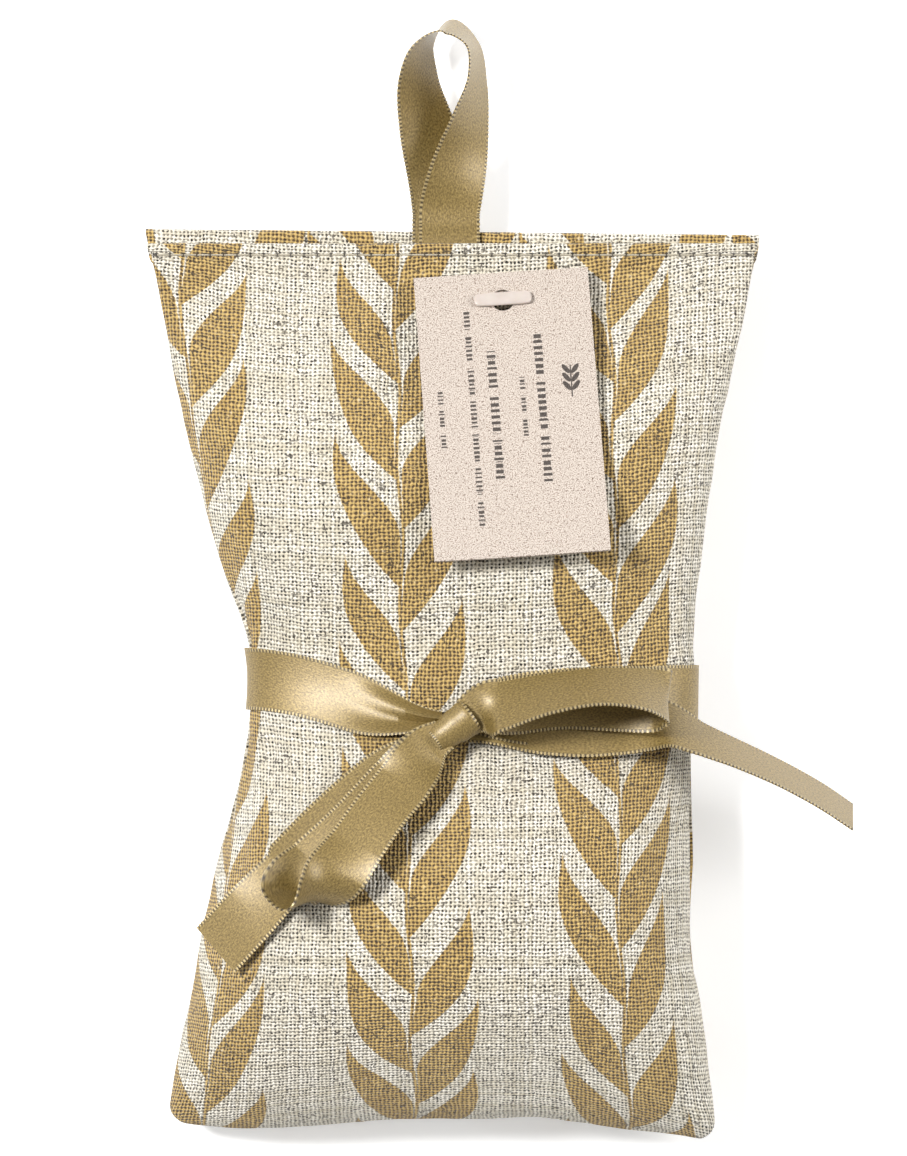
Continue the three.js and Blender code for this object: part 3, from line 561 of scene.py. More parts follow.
weft_slub = cloud(tree, spot(tree, u * 0.45, v * 1.5, 3.0), 1.0, 1)
warp_slub = cloud(tree, spot(tree, u * 1.5, v * 0.6, 9.0), 1.0, 1)
patchy = cloud(tree, place, 9)
fleck = (weft_slub.work("MAXIMUM", warp_slub) + patchy * 0.2).ramp(0.75, 0.82)
cloth_colour = blended(tree, tone * 0.5, PALE_YARN, DARK_YARN)
# Painted shade in the valleys between yarn crowns, on bare cloth and on the ink.
cloth_colour = blended(tree, valley * 0.45, cloth_colour, YARN_VALLEY_SHADE)
ink = blended(tree, cloud(tree, place, 6) + (slack - 0.5) * 0.5, DARK_INK, PALE_INK)
ink = blended(tree, valley * 0.8, ink, INK_VALLEY_SHADE)
dry = printed * (0.97 - slack.ramp(0.62, 0.8) * 0.35)
colour = blended(tree, dry, cloth_colour, ink)
# Painted shade in the gaps between the yarns.
colour = blended(tree, shaded_gap, colour, blended(tree, printed, CLOTH_HOLE_SHADE, INK_HOLE_SHADE))
colour = blended(tree, fleck * 0.85, colour, FLAX)
bag_x, bag_y, _ = numbers(tree, object_spot(tree))
along_row = bag_x / MM - (FIRST_STITCH - STITCH_PITCH / 2)
along_row = along_row.work("FLOORED_MODULO", STITCH_PITCH) - STITCH_PITCH / 2
off_row = bag_y / MM - STITCH_Y
# Painted shade: a dark dash at each needle hole of the hem's stitch row.
pierced_shade = (0.75 - (along_row * 0.75).work("ABSOLUTE") - (off_row * 1.3).work("ABSOLUTE")).ramp(-0.1, 0.25)
colour = blended(tree, pierced_shade * 0.9, colour, NEEDLE_HOLE_SHADE)
sewn = (0.7 - off_row.work("ABSOLUTE")).ramp(-0.3, 0.7)
tree.links.new(colour, shader.inputs["Base Color"])
raised(tree, shader, (crown_u + crown_v) * 0.25 + over * 0.2 + slack * 0.3 - sewn * 0.6, 0.45)
for panel, node in ((front_cloth, "front_panel"), (back_cloth, "back_panel")):
    dyed(panel, linen)
    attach(panel, "bag")
    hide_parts(node)

# Satin ribbon, double faced polyester with a looped selvedge on both edges. One reel gives the hanging loop,
# the waist ribbon and the bow. The warp floats run along it, so its sheen stretches across.
RIBBON_WIDTH, SATIN, PICOT, PICOT_OUT = 12.0, 0.32, 0.8, 0.2
WEFT = np.array([-0.5, -0.47, -0.43, -0.36, -0.24, -0.12, 0, 0.12, 0.24, 0.36, 0.43, 0.47, 0.5])

DARK_SATIN, PALE_SATIN = plain(94, 74, 30), plain(156, 133, 76)
# Picot colours: painted shade between the selvedge loops and painted highlight on their tips.
SHADED_PICOT, LIT_PICOT = plain(58, 44, 18), plain(178, 157, 108)

satin, tree, shader = new_finish("olive_gold_satin", 0.45, Metallic=0.34, Anisotropic=0.5,
                                 Coat_Weight=0.2, Coat_Roughness=0.4, Coat_IOR=2.2)
along, across = cut_numbers(tree)
grain = cloud(tree, spot(tree, along * 1.6, across * 7.0), 1.0, 2)
fine = cloud(tree, spot(tree, along * 2.2, across * 2.6), 1.0, 1)
edge = across.work("ABSOLUTE")
bead = (along / PICOT).wave() * 0.5 + 0.5
border = edge.ramp(5.42, 5.62)
colour = blended(tree, (grain * 0.5 + fine * 0.5).ramp(0.3, 0.7), DARK_SATIN, PALE_SATIN)
# Painted highlight and shade on the selvedge: pale at the tip of each picot loop, dark between the loops.
picot_light_and_shade = blended(tree, bead, SHADED_PICOT, LIT_PICOT)
colour = blended(tree, border, colour, picot_light_and_shade)
tree.links.new(colour, shader.inputs["Base Color"])
floats = tree.nodes.new("ShaderNodeTangent")
floats.direction_type, floats.uv_map = "UV_MAP", "cut"
tree.links.new(floats.outputs[0], shader.inputs["Tangent"])
raised(tree, shader, grain * 0.5 + fine * 0.5 + border * bead * 0.8, 0.1)


def drawn(points, share):
    """A smooth line through a few points, at shares of its length from 0 to 1."""
    points = np.array(points, float)
    ends = np.vstack([2 * points[0] - points[1], points, 2 * points[-1] - points[-2]])
    last = len(points) - 1
    i = np.minimum((share * last).astype(int), last - 1)
    t = (share * last - i)[:, None]
    a, b, c, d = ends[i], ends[i + 1], ends[i + 2], ends[i + 3]
    ab, bc, cd = (np.maximum(1e-3, np.linalg.norm(q - p, axis=1)[:, None] ** 0.5)
                  for p, q in ((a, b), (b, c), (c, d)))
    start = ((b - a) / ab - (c - a) / (ab + bc) + (c - b) / bc) * bc
    end = ((c - b) / bc - (d - b) / (bc + cd) + (d - c) / cd) * bc
    return b + start * t + (3 * c - 3 * b - 2 * start - end) * t**2 + (2 * b - 2 * c + start + end) * t**3


def full_width(share):
    return RIBBON_WIDTH + 0 * share


def ribbon_in_air(route, width, samples=500):
    """A ribbon along [x, y, z, width's direction] points."""
    share = np.linspace(0, 1, samples)
    centre = drawn([r[:3] for r in route], share)
    side = drawn([r[3] for r in route], share)
    ahead = np.gradient(centre, axis=0)
    ahead /= np.linalg.norm(ahead, axis=1, keepdims=True)
    side -= ahead * (side * ahead).sum(1, keepdims=True)
    side /= np.linalg.norm(side, axis=1, keepdims=True)
    return centre[:, None] + side[:, None] * (WEFT[:, None] * width(share)[:, None, None])


def ribbon_on_bag(route, width, samples=400):
    """A ribbon that lies on the front of the bag along [x, y, lift] points."""
    share = np.linspace(0, 1, samples)
    centre = drawn(route, share)
    ahead = np.gradient(centre[:, :2], axis=0)
    ahead /= np.linalg.norm(ahead, axis=1, keepdims=True)
    reach = WEFT[None] * width(share)[:, None]
    x = centre[:, :1] - ahead[:, 1:] * reach
    y = centre[:, 1:2] + ahead[:, :1] * reach
    return np.stack([x, y, front_height(x, y) + centre[:, 2:]], 2)


def run_along(points):
    return np.concatenate([[0], np.cumsum(np.linalg.norm(np.diff(points, axis=0), axis=1))])


def ribbon_piece(name, grid, step=0.22):
    """Weaves a ribbon over a grid, with its looped selvedge."""
    run = run_along(grid[:, len(WEFT) // 2])
    at = np.linspace(0, run[-1], int(run[-1] / step) + 1)
    lanes = [[np.interp(at, run, grid[:, lane, axis]) for axis in range(3)] for lane in range(len(WEFT))]
    woven = np.stack(lanes).transpose(2, 0, 1)
    loop = PICOT_OUT * (0.5 + 0.5 * np.cos(at / PICOT * math.tau))[:, None]
    for rim, beside in ((0, 1), (-1, -2)):
        out = woven[:, rim] - woven[:, beside]
        woven[:, rim] += out / np.linalg.norm(out, axis=1, keepdims=True) * loop
    cut = np.stack(np.broadcast_arrays(at[:, None], WEFT[None] * RIBBON_WIDTH), 2)
    piece = cloth_grid(name, woven, cut)
    thickened(piece, SATIN, 0)
    dyed(piece, satin)
    return piece, run[-1]


# Hanging loop: a length of the ribbon folded double, its two ends caught in the hem seam, standing on edge
# at the top so that it opens into an eye.
LOOP_FOOT, HEM_MIDDLE = 137.35, 9.4


def turned(degrees, forward=0.0):
    return (math.cos(math.radians(degrees)), forward, -math.sin(math.radians(degrees)))


loop_route = [
    (-0.6, -6.4, -0.3, turned(0)), (-0.6, -2.6, -0.34, turned(0)),
    (-0.6, 0, -0.65, turned(0)), (-0.6, 2.5, -0.7, turned(0)), (-1.6, 10, -0.9, turned(4)),
    (-3.6, 19, -0.6, turned(22)), (-5.4, 28.5, 0.2, turned(48)), (-4.2, 36, 0.8, turned(68, 0.15)),
    (0.4, 39.8, 1.3, turned(76, 0.3)), (5.4, 36.2, 1.8, turned(78, 0.1)), (6.4, 29, 2.2, turned(72)),
    (4.8, 20, 2.2, turned(50)), (2.2, 9.5, 1.7, turned(18)), (0.8, 2.5, 0.75, turned(0)),
    (0.8, 0, 0.65, turned(0)), (0.8, -2.6, 0.34, turned(0)), (0.8, -6.4, 0.3, turned(0)),
]
loop_route = [(LOOP_X + x, LOOP_FOOT + y, HEM_MIDDLE + z, side) for x, y, z, side in loop_route]
hanging_ribbon, length = ribbon_piece("hanging_ribbon", ribbon_in_air(loop_route, full_width))
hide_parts("hanging_loop", "loop_sewn_ends")
length * MM
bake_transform(hanging_ribbon)

# Hem: one row of lockstitch through all plies closes the bag. Needle thread shows on the front, bobbin
# thread on the back, each stitch dipping into its needle hole.
STITCH_RISE, STITCH_SUNK = 0.4, 0.34
# The thread's two tones are painted shade in the grooves between its plies and painted highlight on their
# crowns.
SHADED_COTTON, LIT_COTTON = plain(186, 174, 148), plain(222, 212, 190)

cotton, tree, shader = new_finish("off_white_cotton_thread", 0.75, Sheen_Weight=0.2)
along, across = cut_numbers(tree)
ply = (along * 1.6 + across * 0.8).wave()
# Painted shade and highlight on the thread: darker in the grooves between its plies, paler on their crowns.
tree.links.new(blended(tree, ply * 0.35 + 0.5, SHADED_COTTON, LIT_COTTON), shader.inputs["Base Color"])
raised(tree, shader, ply, 0.08)


def thread_tube(path, radius, name):
    """Thread along a fine path, eight sides round."""
    ahead = np.gradient(path, axis=0)
    ahead /= np.linalg.norm(ahead, axis=1, keepdims=True)
    side = np.cross(ahead, (0, 0.3, 1))
    side /= np.linalg.norm(side, axis=1, keepdims=True)
    up = np.cross(side, ahead)
    angle = np.linspace(0, math.tau, 9)
    around = side[:, None] * np.cos(angle)[None, :, None] + up[:, None] * np.sin(angle)[None, :, None]
    run = run_along(path)
    taper = np.minimum(1, np.minimum(run, run[-1] - run) / radius + 0.05)[:, None, None]
    grid = path[:, None] + around * radius * taper
    cut = np.stack(np.broadcast_arrays(run[:, None], angle[None]), 2)
    piece = cloth_grid(name, grid, cut)
    bpy.ops.object.mode_set(mode="EDIT")
    bpy.ops.mesh.select_all(action="SELECT")
    bpy.ops.mesh.remove_doubles(threshold=1e-7)
    bpy.ops.mesh.select_all(action="DESELECT")
    bpy.ops.mesh.select_non_manifold()
    bpy.ops.mesh.edge_face_add()
    bpy.ops.mesh.select_all(action="SELECT")
    bpy.ops.mesh.normals_make_consistent(inside=False)
    bpy.ops.object.mode_set(mode="OBJECT")
    bpy.ops.object.shade_smooth()
    dyed(piece, cotton)
    return piece


stitches = int((cloth_x(1, STITCH_Y) - STITCH_MARGIN - FIRST_STITCH) / STITCH_PITCH)
x = FIRST_STITCH + np.linspace(0, stitches * STITCH_PITCH, stitches * 12 + 1)
hop = np.abs(np.sin((x - FIRST_STITCH) / STITCH_PITCH * math.pi)) ** 0.5
for name, node, height, way in (("hem_stitches_front", "top_stitch_front", front_height, 1),
                                ("hem_stitches_back", "top_stitch_back", back_height, -1)):
    y = np.full_like(x, STITCH_Y)
    row = np.stack([x, y, height(x, y) + way * (hop * STITCH_RISE - STITCH_SUNK)], 1)
    stitched = thread_tube(row, THREAD / 2, name)
    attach(stitched, "bag")
    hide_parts(node)

# Waist ribbon: the satin laid round the bag over its gathers, crossed in front under the knot and drawn
# tight there, so that it narrows and folds on itself near the knot.
KNOT_X, KNOT_Y = 0.0, 36.4
BAND_DROP, BAND_SLANT, BAND_PINCH, BAND_LIFT, BAND_FOLD = 8.2, 3.5, 3.6, 0.65, 1.5


def band_rows(shares, height, up):
    x0 = cloth_x(shares, WAIST_Y)
    half = np.where(x0 < 0, left_seam(WAIST_Y), right_seam(WAIST_Y))
    middle = WAIST_Y - BAND_SLANT * np.clip(x0 / right_seam(WAIST_Y), 0, 1)
    near = 0 * x0 + 1
    if up > 0:
        middle = middle - BAND_DROP * np.cos(np.pi / 2 * np.minimum(1, np.abs(x0) / half)) ** 2
        near = eased(np.abs(x0 - KNOT_X), 1, 20)
    width = BAND_PINCH + (RIBBON_WIDTH - BAND_PINCH) * near
    y = middle[:, None] + WEFT[None] * width[:, None]
    share = np.broadcast_to(shares[:, None], y.shape)
    x = cloth_x(share, y)
    a, b = np.maximum(-1, share - 0.004), np.minimum(1, share + 0.004)
    run = cloth_x(b, y) - cloth_x(a, y)
    fall = height(cloth_x(b, y), y) - height(cloth_x(a, y), y)
    normal = np.stack([-fall, 0 * run, run], 2) * up
    edge = np.abs(share) > 0.9999
    normal[edge] = np.stack([share[edge], 0 * share[edge], 0 * share[edge]], 1)
    normal /= np.linalg.norm(normal, axis=2, keepdims=True)
    fold = (0.5 - 0.5 * np.cos(math.tau * (WEFT + 0.15) * 1.6))[None]
    fold = fold * (1 - eased(np.abs(x0), 7, 24))[:, None] * (up > 0)
    grid = np.stack([x, y, height(x, y)], 2) + normal * BAND_LIFT
    grid[..., 2] += BAND_FOLD * fold
    return grid


def sine_steps(start, end, count):
    return np.sin(np.linspace(math.asin(start), math.asin(end), count))


knot_share = float(cloth_share(KNOT_X, WAIST_Y))
band = np.concatenate([
    band_rows(sine_steps(knot_share - 0.04, -1, 300), front_height, 1),
    band_rows(sine_steps(-1, 1, 500), back_height, -1),
    band_rows(sine_steps(1, knot_share + 0.04, 300), front_height, 1),
])
waist_ribbon, length = ribbon_piece("waist_ribbon", band)
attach(waist_ribbon, "bag")
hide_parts("waist_band")
length * MM

# Tails of the bow: the two ends of the satin. They leave under the knot, lie on the bag under the loops and
# end in a straight cut. The right one goes past the bag's side.
KNOT_TURN, KNOT_LENGTH, KNOT_FLAT = math.radians(35), 9.0, 0.85
TAIL_LIFT, ROOT_WIDTH, LOOP_LIFT, TAIL_FLEX = 1.6, 6.5, 3.0, 1.4
knot_low, knot_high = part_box("bow_knot")
knot_z = (knot_low.z + knot_high.z) / 2 / MM
knot_axis = np.array([math.cos(KNOT_TURN), math.sin(KNOT_TURN), 0])
knot_middle = np.array([KNOT_X, KNOT_Y, knot_z])


def widening(span):
    return lambda t: ROOT_WIDTH + (RIBBON_WIDTH - ROOT_WIDTH) * eased(t / span, 0, 1)


def over_bag(x, y, lift, side, tilt=0.0):
    """A point of a route at a lift over the cloth, as far from the knot as x and y say."""
    x, y = KNOT_X + x, KNOT_Y + y
    side = np.array(side, float) / np.linalg.norm(side)
    rise = (front_height(x + 4 * side[0], y + 4 * side[1])
            - front_height(x - 4 * side[0], y - 4 * side[1]))
    slope = rise / 8
    return x, y, front_height(x, y) + lift, (side[0], side[1], float(slope) + tilt)


def in_air(x, y, up, side):
    """A point of a route as far from the knot as x, y and up say."""
    return KNOT_X + x, KNOT_Y + y, knot_z + up, side


def joined(*grids):
    """Two stretches of one ribbon, eased into each other."""
    whole = np.concatenate(grids)
    for _ in range(12):
        whole[1:-1] = (whole[:-2] + 2 * whole[1:-1] + whole[2:]) / 4
    return whole


LEFT_SIDE = (-0.72, 0.7, 0)
right_tail_route = [
    over_bag(1, 0.4, TAIL_LIFT, (0, 1)), over_bag(9, 0.8, TAIL_LIFT, (0, 1)),
    over_bag(17, 0.7, TAIL_LIFT + 0.2, (0, 1), 0.05), over_bag(26, 0.2, TAIL_LIFT + 0.4, (0, 1), 0.05),
    over_bag(34, 0.6, TAIL_LIFT + 0.9, (0, 1), -0.08), over_bag(39.5, 1, TAIL_LIFT + 2.6, (0, 1), -0.35),
    over_bag(43.4, 0.6, TAIL_LIFT + 4.4, (0, 1), -0.8), in_air(49.5, -2.2, -9.2, (0.1, 0.5, -0.86)),
    in_air(56, -4.9, -10.6, (0.1, 0.42, -0.9)), in_air(65, -9, -12.6, (0.1, 0.38, -0.92)),
    in_air(73.4, -13.6, -14.4, (0.1, 0.37, -0.92)), in_air(80, -18, -16, (0.1, 0.36, -0.93)),
]
left_run = [(-1.4, -1.4), (-9, -7), (-16.4, -12.8), (-24, -19.6), (-32, -27.8)]
left_end = [
    over_bag(-32 - 0.68 * TAIL_FLEX, -27.8 - 0.74 * TAIL_FLEX, TAIL_LIFT + 0.1, LEFT_SIDE[:2]),
    over_bag(-40, -36.4, TAIL_LIFT + 1.6, LEFT_SIDE[:2], 0.4),
    over_bag(-46.9, -44, TAIL_LIFT + 4.4, LEFT_SIDE[:2], 1.1),
]
left_run = ribbon_on_bag([(KNOT_X + x, KNOT_Y + y, TAIL_LIFT) for x, y in left_run], widening(0.4))
left_end = ribbon_in_air(left_end, full_width, 300)
if np.linalg.norm(left_end[0, 0] - left_run[-1, 0]) > np.linalg.norm(left_end[0, -1] - left_run[-1, 0]):
    left_end = left_end[:, ::-1]
joints = {joint["name"]: joint for joint in frame["joints"]}
for name, grid, nodes, body, ahead in (
    ("bow_right_tail", ribbon_in_air(right_tail_route, widening(0.21), 600),
     ("bow_tail_right_run", "bow_tail_right_end"), "right_tail", (1, 0, 0)),
    ("bow_left_tail", joined(left_run, left_end),
     ("bow_tail_left_run", "bow_tail_left_end"), "left_tail", (-0.68, -0.74, 0)),
):
    tail, length = ribbon_piece(name, grid)
    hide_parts(*nodes)
    length * MM
    hinge = np.array(joints[body + "_lift"]["pos_m"])
    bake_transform(tail)

# Loops of the bow: two bights of the satin. Each comes out of the knot pinched, opens to its full width,
# turns over in the air and goes back into the knot below itself.
def pinched(span):
    return lambda t: ROOT_WIDTH + (RIBBON_WIDTH - ROOT_WIDTH) * eased(np.minimum(t, 1 - t) / span, 0, 1)


def root(side, out, up, across):
    """A point of a route at the mouth of the knot."""
    x = KNOT_X + side * knot_axis[0] * (KNOT_LENGTH / 2 + out)
    y = KNOT_Y + side * knot_axis[1] * (KNOT_LENGTH / 2 + out)
    return x, y, knot_z + up, across


ACROSS_KNOT = (-0.57, 0.82, 0)
right_loop_route = [
    root(1, -2.5, 0.9, ACROSS_KNOT), root(1, 1.2, 0.8, ACROSS_KNOT),
    in_air(9.5, 4.6, 3.2, (-0.1, 0.8, -0.55)), in_air(19, 7.1, 5.4, (-0.05, 0.66, -0.75)),
    in_air(29, 8.5, 5.2, (0, 0.6, -0.8)), in_air(38, 7.8, 2.6, (0.05, 0.64, -0.76)),
    in_air(42.6, 6, -2, (0.1, 0.75, -0.6)), over_bag(39.6, 5.2, LOOP_LIFT + 6, (0, 1), -0.1),
    over_bag(33, 5.4, LOOP_LIFT + 2.4, (0, 1)), over_bag(22, 5.8, LOOP_LIFT + 0.4, (0, 1)),
    over_bag(12, 4.6, LOOP_LIFT + 0.5, (-0.2, 1)),
    root(1, 1.2, -0.8, ACROSS_KNOT), root(1, -2.5, -0.9, ACROSS_KNOT),
]
left_loop_route = [
    root(-1, -2.5, 0.9, ACROSS_KNOT), root(-1, 1.2, 0.8, ACROSS_KNOT),
    over_bag(-9.4, -10.2, LOOP_LIFT + 2.6, (-0.8, 0.6), -0.12),
    over_bag(-14.2, -16.1, LOOP_LIFT + 2.9, (-0.78, 0.63), -0.15),
    over_bag(-18.8, -22.6, LOOP_LIFT + 3.2, (-0.78, 0.63), -0.08),
    over_bag(-22.2, -27.2, LOOP_LIFT + 4, (-0.8, 0.6), 0.3),
    over_bag(-25.5, -31.2, LOOP_LIFT + 3.8, (-1, 0.1), 0.85),
    over_bag(-29.2, -34, LOOP_LIFT + 3.6, (-0.96, -0.28), 1.3),
    over_bag(-32.2, -31.8, LOOP_LIFT + 2.2, (-1, 0.16), 1.05),
    over_bag(-27.2, -26.6, LOOP_LIFT + 0.3, (-0.77, 0.63), 0.1),
    over_bag(-19, -18.8, LOOP_LIFT, LEFT_SIDE[:2]), over_bag(-10.6, -10, LOOP_LIFT, LEFT_SIDE[:2]),
    root(-1, 1.2, -0.8, ACROSS_KNOT), root(-1, -2.5, -0.9, ACROSS_KNOT),
]
for name, route, node, body, side in (
    ("bow_right_loop", right_loop_route, "bow_loop_right", "right_loop", 1),
    ("bow_left_loop", left_loop_route, "bow_loop_left", "left_loop", -1),
):
    grid = ribbon_in_air(route, pinched(0.18), 700)
    bow_loop, length = ribbon_piece(name, grid)
    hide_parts(node)
    length * MM
    hinge = np.array(joints[body + "_lift"]["pos_m"])
    hinge - side * 0.0005 * knot_axis
    hinge + side * 0.004 * knot_axis
    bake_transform(bow_loop)

# Knot: the satin's tight wrap over the crossing, pressed together into creases and narrower where it is
# drawn to the lower left. It holds the loops, the tails and the waist ribbon.
turn = np.linspace(-0.6 * math.pi, 1.5 * math.pi, 260)
along_knot = WEFT * (KNOT_LENGTH - 0.3)
radius = np.interp(along_knot, (-4.5, -3.6, -1, 2.2, 4.0, 4.5), (2.1, 2.5, 3.0, 3.5, 3.55, 3.3))
crease = 0.14 * np.sin(along_knot[None] * 2.1 + 0.9 * np.sin(turn[:, None] * 1.5 + 0.4))
reach = radius[None] + crease * (1 - (2 * WEFT[None]) ** 6)
skewed = along_knot[None] + 0.4 * np.sin(turn[:, None])
out_plan = np.array([-knot_axis[1], knot_axis[0], 0])
wrap = (knot_middle + skewed[..., None] * knot_axis + (reach * np.cos(turn)[:, None])[..., None] * out_plan
        + (reach * KNOT_FLAT * np.sin(turn)[:, None])[..., None] * np.array([0, 0, 1]))
knot_wrap, length = ribbon_piece("bow_knot_wrap", wrap[::-1])
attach(knot_wrap, "bag")
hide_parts("bow_knot")
length * MM

# Swing tag: speckled recycled card with a punched hole, slightly curled at its free end. It is printed in
# dark brown with rows of plain ticks along its length and a small sprig.
TAG_WIDTH, TAG_LENGTH, TAG_CARD, TAG_ABOVE = 35.0, 61.0, 0.6, 0.8
TAG_HOLE, TAG_HOLE_Y, TAG_CURL, TAG_BEVEL = 4.6, -5.2, 0.35, 0.12
tag_up = Vector(joints["tag_swing"]["axis"]).normalized()
tag_right = -Vector(joints["tag_lift"]["axis"]).normalized()
tag_right = (tag_right - tag_up * tag_right.dot(tag_up)).normalized()
tag_place = Matrix((tag_right, tag_up.cross(tag_right), tag_up)).transposed().to_4x4()
tag_place.translation = Vector(joints["tag_swing"]["pos_m"])
into_tag = tag_place.inverted()
tag_level = min((into_tag @ vertex.co).z for vertex in frame["nodes"]["swing_tag"].data.vertices) / MM


def along_tag(piece):
    """Lays a piece that was made flat along the tag's own lines."""
    piece.data.transform(tag_place)
    piece.data.update()


x, y = np.meshgrid(np.linspace(-TAG_WIDTH / 2, TAG_WIDTH / 2, 36), TAG_ABOVE - np.linspace(TAG_LENGTH, 0, 62))
curl = TAG_CURL * ((y - TAG_ABOVE) / TAG_LENGTH) ** 2 * (x / TAG_WIDTH * 2) ** 2
card_tag = cloth_grid("card_tag", np.stack([x, y, tag_level + curl], 2), np.stack([x, y], 2))
thickened(card_tag, TAG_CARD, 1)
bpy.ops.object.select_all(action="DESELECT")
bpy.ops.mesh.primitive_cylinder_add(vertices=48, radius=TAG_HOLE / 2 * MM, depth=6 * MM,
                                    location=(0, TAG_HOLE_Y * MM, tag_level * MM))
punch = bpy.context.object
bpy.context.view_layer.objects.active = card_tag
cutter = card_tag.modifiers.new("punch", "BOOLEAN")
cutter.object, cutter.operation, cutter.solver = punch, "DIFFERENCE", "EXACT"
bpy.ops.object.modifier_apply(modifier="punch")
bpy.data.objects.remove(punch)
softened = card_tag.modifiers.new("softened", "BEVEL")
softened.width, softened.segments = TAG_BEVEL * MM, 2
softened.limit_method, softened.angle_limit = "ANGLE", math.radians(60)
bpy.ops.object.modifier_apply(modifier="softened")
bpy.ops.object.select_all(action="DESELECT")
card_tag.select_set(True)
bpy.ops.object.shade_smooth_by_angle(angle=math.radians(40))
along_tag(card_tag)

DARK_PULP, PALE_PULP = plain(130, 113, 101), plain(200, 189, 178)
HAIR, GRIT, TAG_INK = plain(138, 114, 100), plain(92, 72, 58), plain(36, 28, 25)
TICK_ROWS = ((6.3, 1.0, -46, -13, 11.3), (2.6, 0.6, -36, -22, 5.0), (-3.2, 1.0, -45, -16, 9.8),
             (-7.5, 0.7, -55, -7, 7.1), (-13.9, 0.6, -38, -24, 4.9))
SPRIG_X, SPRIG_Y, SPRIG_LENGTH, SPRIG_STEM = 12.4, -27.0, 7, 0.14
SPRIG_FEET = (1.6, 3.4, 5.2)

card, tree, shader = new_finish("speckled_card", 0.8)
x, y = cut_numbers(tree)
place = spot(tree, x, y)
pulp = cloud(tree, place, 0.22, 1)
colour = blended(tree, pulp.ramp(0.3, 0.6), DARK_PULP, PALE_PULP)
hair = cloud(tree, spot(tree, x * 2.2 + cloud(tree, place, 2) * 4, y * 0.8), 0.8, 2)
colour = blended(tree, hair.ramp(0.66, 0.72) * 0.7, colour, HAIR)
grit = cloud(tree, place, 0.45, 1)
colour = blended(tree, grit.ramp(0.635, 0.69) * 0.8, colour, GRIT)
up_stem = y - SPRIG_Y
printed = (SPRIG_STEM - (x - SPRIG_X).work("ABSOLUTE")).ramp(-0.05, 0.05)
printed = printed * up_stem.ramp(0, 0.1) * (SPRIG_LENGTH - up_stem).ramp(0, 0.1)
for side, foot in [(side, foot) for foot in SPRIG_FEET for side in (1, -1)]:
    off, rise = (x - SPRIG_X) * side - 0.9, up_stem - foot - 0.9
    long, short = (off * 0.6 + rise * 0.8) / 1.25, (off * 0.8 - rise * 0.6) / 0.5
    printed = printed.work("MAXIMUM", (1 - long * long - short * short).ramp(-0.1, 0.2))
for row_x, half, low_y, high_y, word in TICK_ROWS:
    tick = half * 1.3
    cell = chance(tree, (y / tick + row_x * 7).work("FLOOR"))
    row = ((cell * 0.3 + 0.7) * half - (x - row_x).work("ABSOLUTE")).ramp(-0.05, 0.05)
    row = row * (y - low_y).ramp(0, 0.1) * (high_y - y).ramp(0, 0.1)
    row = row * ((y - low_y).work("FLOORED_MODULO", word) - 1.3).ramp(-0.05, 0.05)
    row = row * (y.work("FLOORED_MODULO", tick) - (cell * 0.4 + 0.25) * tick).ramp(-0.05, 0.05)
    printed = printed.work("MAXIMUM", row)
colour = blended(tree, printed * (0.98 - pulp * 0.15), colour, TAG_INK)
tree.links.new(colour, shader.inputs["Base Color"])
raised(tree, shader, pulp + grit * 0.4, 0.06)
dyed(card_tag, card)
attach(card_tag, "tag")
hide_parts("swing_tag")

# Fastener: one moulding of clear nylon. A paddle lies across the hole, the filament goes through the card
# and behind it to the cloth, and a bar on the inside of the bag stops it.
PADDLE_LENGTH, PADDLE_WIDTH, PADDLE, FIT, FILAMENT = 11.6, 2.8, 1.0, 0.3, 0.9


def mottled(name, roughness, size, first, second, depth, **sockets):
    """A finish with two close tones in soft patches of a size in metres, and a little relief."""
    material, tree, shader = new_finish(name, roughness, **sockets)
    patches = cloud(tree, object_spot(tree), size, 2)
    tree.links.new(blended(tree, patches, first, second), shader.inputs["Base Color"])
    raised(tree, shader, patches, depth)
    return material


nylon = mottled("clear_nylon", 0.32, 0.002, plain(205, 188, 176), plain(226, 212, 202), 0.05,
                Transmission_Weight=0.25, IOR=1.5, Subsurface_Weight=0.1)
bpy.ops.object.select_all(action="DESELECT")
bpy.ops.mesh.primitive_uv_sphere_add(segments=32, ring_count=16, radius=1)
paddle = bpy.context.object
paddle.name = paddle.data.name = "tag_paddle"
at = np.empty(len(paddle.data.vertices) * 3)
paddle.data.vertices.foreach_get("co", at)
at = at.reshape(-1, 3)
flat = np.sign(at) * np.abs(at) ** np.array([0.75, 0.7, 0.6])
drawn_out = (PADDLE_LENGTH / 2 - PADDLE_WIDTH / 2) * eased(np.abs(at[:, 0]), 0, 0.45)
paddle_level = tag_level + TAG_CARD + FIT + PADDLE / 2
flat[:, 0] = np.sign(at[:, 0]) * drawn_out + at[:, 0] * PADDLE_WIDTH / 2
flat[:, 1] = flat[:, 1] * PADDLE_WIDTH / 2 + TAG_HOLE_Y
flat[:, 2] = flat[:, 2] * PADDLE / 2 + paddle_level
paddle.data.vertices.foreach_set("co", (flat * MM).ravel())
bpy.ops.object.shade_smooth()
along_tag(paddle)
behind = tag_level - FIT - FILAMENT / 2
bend = [(0, TAG_HOLE_Y, paddle_level), (0, TAG_HOLE_Y, tag_level + TAG_CARD / 2),
        (0, TAG_HOLE_Y + 0.25, behind + 0.2), (0, TAG_HOLE_Y + 1.0, behind),
        (0, -2.4, behind), (0, -0.9, behind)]
filament = thread_tube(drawn(bend, np.linspace(0, 1, 60)), FILAMENT / 2, "tag_filament")
along_tag(filament)
for piece in (paddle, filament):
    dyed(piece, nylon)
    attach(piece, "tag")
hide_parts("tag_fastener")
dyed(frame["nodes"]["tag_anchor"], nylon)

